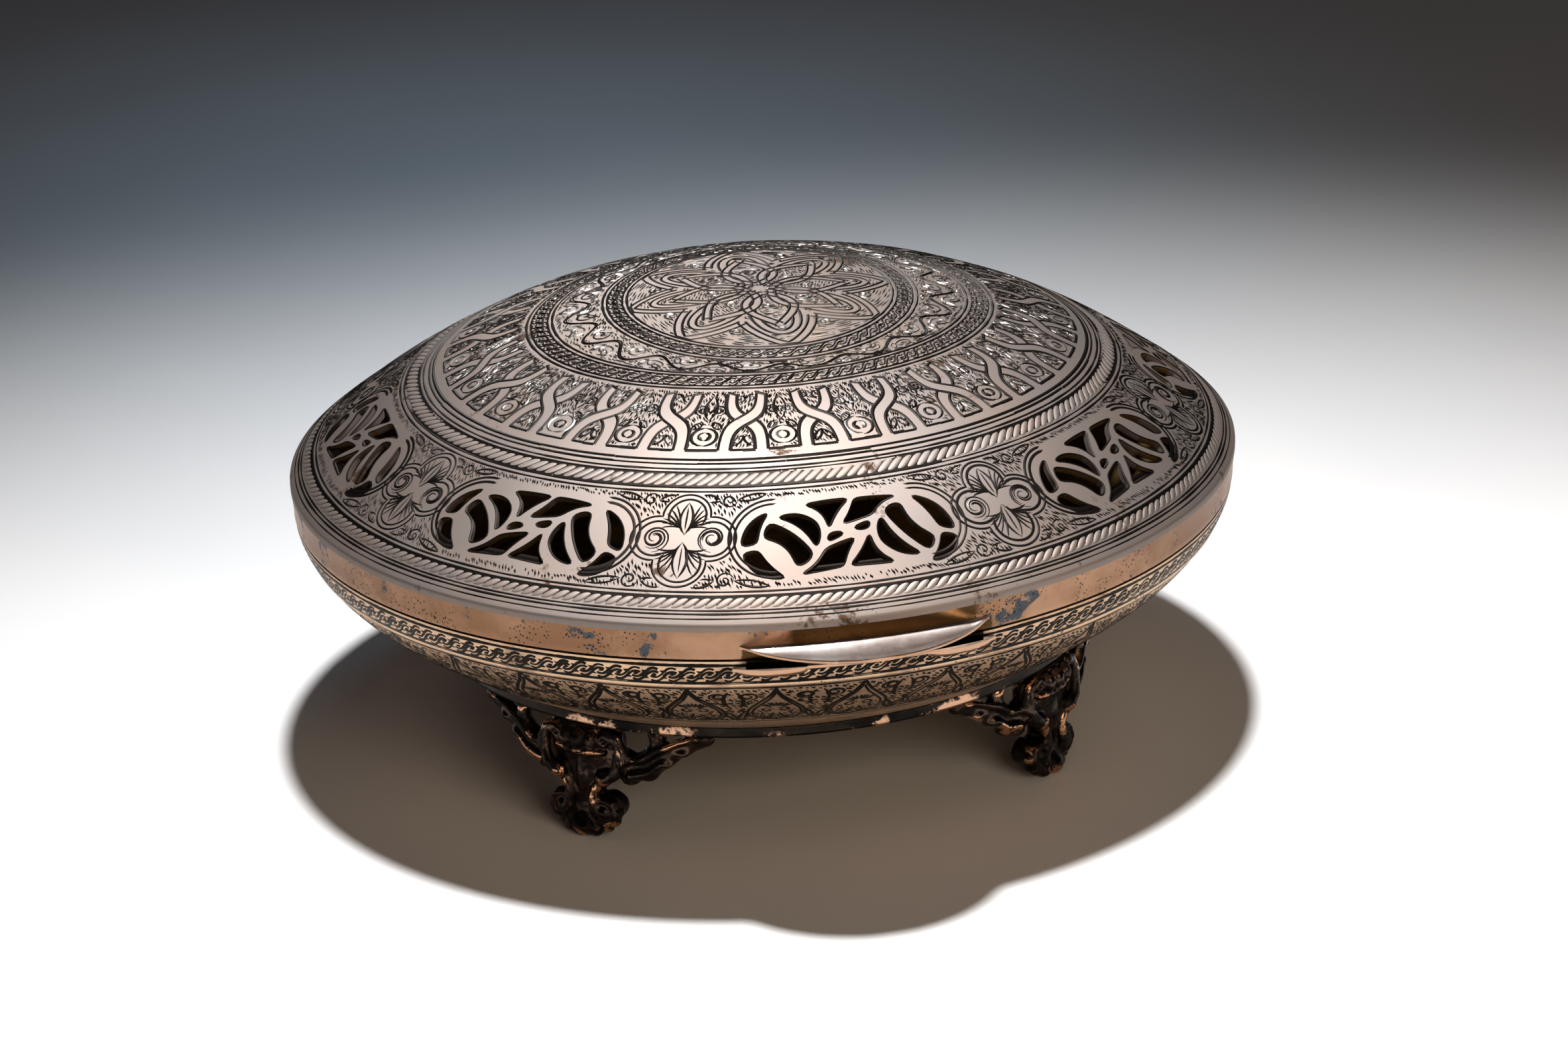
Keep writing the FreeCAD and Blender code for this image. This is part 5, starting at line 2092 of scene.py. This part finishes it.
        clay.put(clay.stroke(path((6.4, 0.0, 14.6), (9.4, 0.0, 14.3), (12.4, 0.0, 15.3), (15.4, 0.0, 17.4),
                                  (18.4, 0.0, 19.3), (20.4, 0.0, 20.2), (22.3, 0.0, 20.7)),
                             (3.0, 2.8, 2.5, 2.1, 1.75, 1.6, 1.2), 0.7))
        clay.put(clay.stroke(path((12.0, -0.2, 17.0), (13.9, -0.4, 19.0), (14.0, -0.4, 20.9), (13.2, -0.2, 22.2)),
                             (1.3, 1.35, 1.45, 1.3)))
        clay.put(clay.stroke(path((8.0, -2.0, 16.2), (11.4, -1.9, 16.6), (14.8, -1.6, 18.9), (18.4, -1.4, 20.6),
                                  (21.6, -1.0, 21.3)), (0.6, 0.7, 0.65, 0.55, 0.4)))
        clay.put(clay.stroke(path((9.6, -1.7, 13.2), (12.6, -1.6, 14.2), (15.2, -1.4, 16.2)), (1.0, 0.95, 0.7)))
        clay.take(clay.stroke(path((8.6, -2.9, 14.8), (12.2, -2.7, 15.4), (15.8, -2.3, 17.9)), (0.6, 0.6, 0.4)))
        for x, z, size in ((8.9, 11.9, 1.3), (12.2, 13.1, 1.25), (15.6, 15.9, 1.05), (18.6, 18.2, 0.9)):
            clay.put(clay.egg((side * x, -0.8, z), (size * 1.15, size, size * 0.8)))
        clay.put(clay.egg((side * 21.4, -0.3, 20.9), (2.0, 1.35, 1.15)))
        clay.take(clay.stroke(path((17.4, -1.8, 19.0), (20.0, -1.8, 20.2), (22.4, -1.6, 20.6)), (0.25, 0.4, 0.3)))

    @staticmethod
    def volute(clay: Clay, side: float) -> None:
        """Add one rolled volute at the ankle, with its spiral groove and its knobs.

        Args:
            clay: the foot so far.
            side: 1 for the right side and -1 for the left.
        """
        centre = (side * 4.25, 0.0, 5.3)
        disc = np.hypot(clay.x - centre[0], clay.z - centre[2]) - 2.05
        thick = np.abs(clay.y + 0.5) - 2.2
        outside = np.sqrt(np.maximum(disc, 0) ** 2 + np.maximum(thick, 0) ** 2)
        clay.put(outside + np.minimum(np.maximum(disc, thick), 0) - 0.6)
        turn = np.linspace(0, 2.6 * math.pi, 22)
        groove = [(centre[0] - side * (2.1 - 0.55 * t / math.pi) * math.cos(t - 0.6), -3.4,
                   centre[2] + (2.1 - 0.55 * t / math.pi) * math.sin(t - 0.6)) for t in turn]
        clay.take(clay.stroke(groove, np.linspace(0.5, 0.32, len(groove))))
        clay.put(clay.egg((centre[0], -3.0, centre[2]), (0.75, 0.7, 0.75)))
        ridge = ((4.4, -2.4, 11.6), (2.9, -2.5, 9.8), (2.3, -2.7, 8.0), (2.6, -2.9, 6.2), (3.6, -2.9, 4.6))
        clay.put(clay.stroke([(side * x, y, z) for x, y, z in ridge], (1.0, 1.0, 0.95, 0.85, 0.6)))
        for x, z, size in ((6.5, 5.0, 0.95), (6.0, 3.3, 0.95), (4.6, 2.0, 0.95), (5.9, 6.9, 0.8)):
            clay.put(clay.egg((side * x, -1.6, z), (size, size * 1.3, size)))

    def build(self) -> None:
        """Make the four feet and hand them to the frame."""
        points, quads, exposed = self.model()
        for corner, degrees in (("front_right", -45.0), ("front_left", -135.0), ("rear_left", 135.0),
                                ("rear_right", 45.0)):
            a = math.radians(degrees)
            facing = math.atan2(math.sin(a) / self.ring_half_width, math.cos(a) / self.ring_radius) + math.pi / 2
            cos, sin = math.cos(facing), math.sin(facing)
            x = points[:, 0] * cos - points[:, 1] * sin + self.ring_radius * math.cos(a)
            y = points[:, 0] * sin + points[:, 1] * cos + self.ring_half_width * math.sin(a) + self.centre_y
            moved = zipped(x, y, points[:, 2])
            made = mesh_object(f"scroll_foot_{corner}", moved, [quads], [self.finishes.feet], None, 60.0)
            mark(made, "wear_and_shade", exposed)
            dressed(made, "box", Slot.FEET, f"foot_{corner}")


@dataclass
class Stage:
    """Pale floor, soft light from above and the camera."""

    aim: tuple[float, float, float] = (0.0, 1.85, 55.2)
    aim_pixel: Point = (1155.72, 667.65)
    distance: float = 900.0
    elevation: float = 22.99
    turn: float = 12.43
    roll: float = -1.62
    focal_pixels: float = 7308.0
    sensor: float = 36.0

    def camera(self) -> None:
        """Set the camera at the photograph's viewing angle."""
        e = math.radians(self.elevation)
        look = Vector((0, math.cos(e), -math.sin(e)))
        right = Vector((1, 0, 0))
        up = right.cross(look)
        px = (self.aim_pixel[0] - IMAGE_WIDTH / 2) / self.focal_pixels
        py = -(self.aim_pixel[1] - IMAGE_HEIGHT / 2) / self.focal_pixels
        forward = (look - px * right - py * up).normalized()
        level = forward.cross(Vector((0, 0, 1))).normalized()
        above = level.cross(forward)
        r = math.radians(self.roll)
        side = math.cos(r) * level + math.sin(r) * above
        top = -math.sin(r) * level + math.cos(r) * above
        swing = Matrix.Rotation(-math.radians(self.turn), 3, "Z")
        place = Vector(self.aim) + swing @ (-self.distance * look)
        axes = Matrix([swing @ side, swing @ top, swing @ -forward]).transposed()
        data = bpy.data.cameras.new("photo_view")
        data.sensor_fit = "HORIZONTAL"
        data.sensor_width = self.sensor
        data.lens = self.focal_pixels * self.sensor / IMAGE_WIDTH
        data.clip_start = 0.01
        made = placed("photo_view", data)
        made.matrix_world = Matrix.Translation(place * MM) @ axes.to_4x4()
        bpy.context.scene.camera = made

    @staticmethod
    def floor() -> Object:
        """The pale floor.

        Returns:
            The object.
        """
        material, w, shader = blank_material("pale_floor")
        place = w.node("ShaderNodeTexCoord").outputs["Object"]
        cloud = w.noise(place, 9.0, 4.0)
        tint = w.blend(w.span(cloud, 0.35, 0.7), (0.78, 0.775, 0.77), (0.82, 0.815, 0.8))
        w.feed(shader, {"Base Color": tint, "Roughness": 0.45})
        reach, drop = 4000.0, 0.02
        points = np.array([(-reach, -reach, -drop), (reach, -reach, -drop), (reach, reach, -drop),
                           (-reach, reach, -drop)])
        return mesh_object("floor", points, [np.array([[0, 1, 2, 3]])], [material])

    @staticmethod
    def lamp(name: str, kind: str, place: Sequence[float], target: Sequence[float], power: float, colour: Colour,
             **settings: float | str) -> None:
        """Hang a lamp.

        Args:
            name: its name.
            kind: Blender's name of its type.
            place: where it hangs, in metres.
            target: what it points at.
            power: its power.
            colour: its colour.
            settings: its own settings.
        """
        data = bpy.data.lights.new(name, kind)
        data.energy, data.color = power, colour
        for key, value in settings.items():
            setattr(data, key, value)
        aim = (Vector(target) - Vector(place)).to_track_quat("-Z", "Y").to_matrix().to_4x4()
        placed(name, data).matrix_world = Matrix.Translation(Vector(place)) @ aim

    def build(self) -> None:
        """Make the floor, the light and the camera."""
        self.floor()
        world = bpy.data.worlds.new("studio")
        world.use_nodes = True
        back = world.node_tree.nodes["Background"]
        back.inputs["Color"].default_value = (0.009, 0.012, 0.019, 1)
        back.inputs["Strength"].default_value = 1.0
        bpy.context.scene.world = world
        bpy.context.scene.view_settings.view_transform = "Standard"
        for name, place, target, power, colour, cone, size in (
                ("overhead", (0.0, 0.0, 1.0), (0.0, -0.16, 0.0), 72.0, (0.985, 0.985, 1.0), 54.0, 0.04),
                ("cool_back", (0.0, 0.26, 1.0), (0.0, 0.25, 0.0), 7.0, (0.5, 0.76, 1.0), 25.0, 0.1),
                ("back_sheen", (0.0, 1.3, 0.62), (0.0, 0.0, 0.1), 26.0, (1.0, 0.97, 0.95), 7.0, 0.02)):
            self.lamp(name, "SPOT", place, target, power, colour, spot_size=math.radians(cone), spot_blend=1.0,
                      shadow_soft_size=size)
        self.lamp("front_fill", "AREA", (0.2, -0.75, 0.4), (0.0, -0.05, 0.02), 1.9, (1.0, 0.8, 0.6),
                  shape="RECTANGLE", size=0.5, size_y=0.4)
        self.camera()


def dress_plain_nodes(finishes: Finishes) -> None:
    """Give the CAD parts that stay as they are their finishes.

    Args:
        finishes: every finish of the box.
    """
    for name, finish in (("lid_hinge_leaf", finishes.band), ("bowl_hinge_leaf", finishes.bowl),
                         ("hinge_pin", finishes.thumb), ("base_plate", finishes.inside)):
        data = bpy.data.objects[name].data
        data.materials.clear()
        data.materials.append(finish)
        LOG.info("%s: own mesh", name)


def main() -> None:
    """Build the box and its stage."""
    logging.basicConfig(level=logging.INFO, format="%(message)s")
    finishes = Finishes()
    Lid(finishes, LidSurface(*node_box("lid_dome"))).build(LinkRun())
    Bowl(finishes, BowlSurface(*node_box("bowl_shell"), Oval(*node_box("base_ring")).radius)).build()
    Foot(finishes).build()
    dress_plain_nodes(finishes)
    Stage().build()


if __name__ == "__main__":
    main()
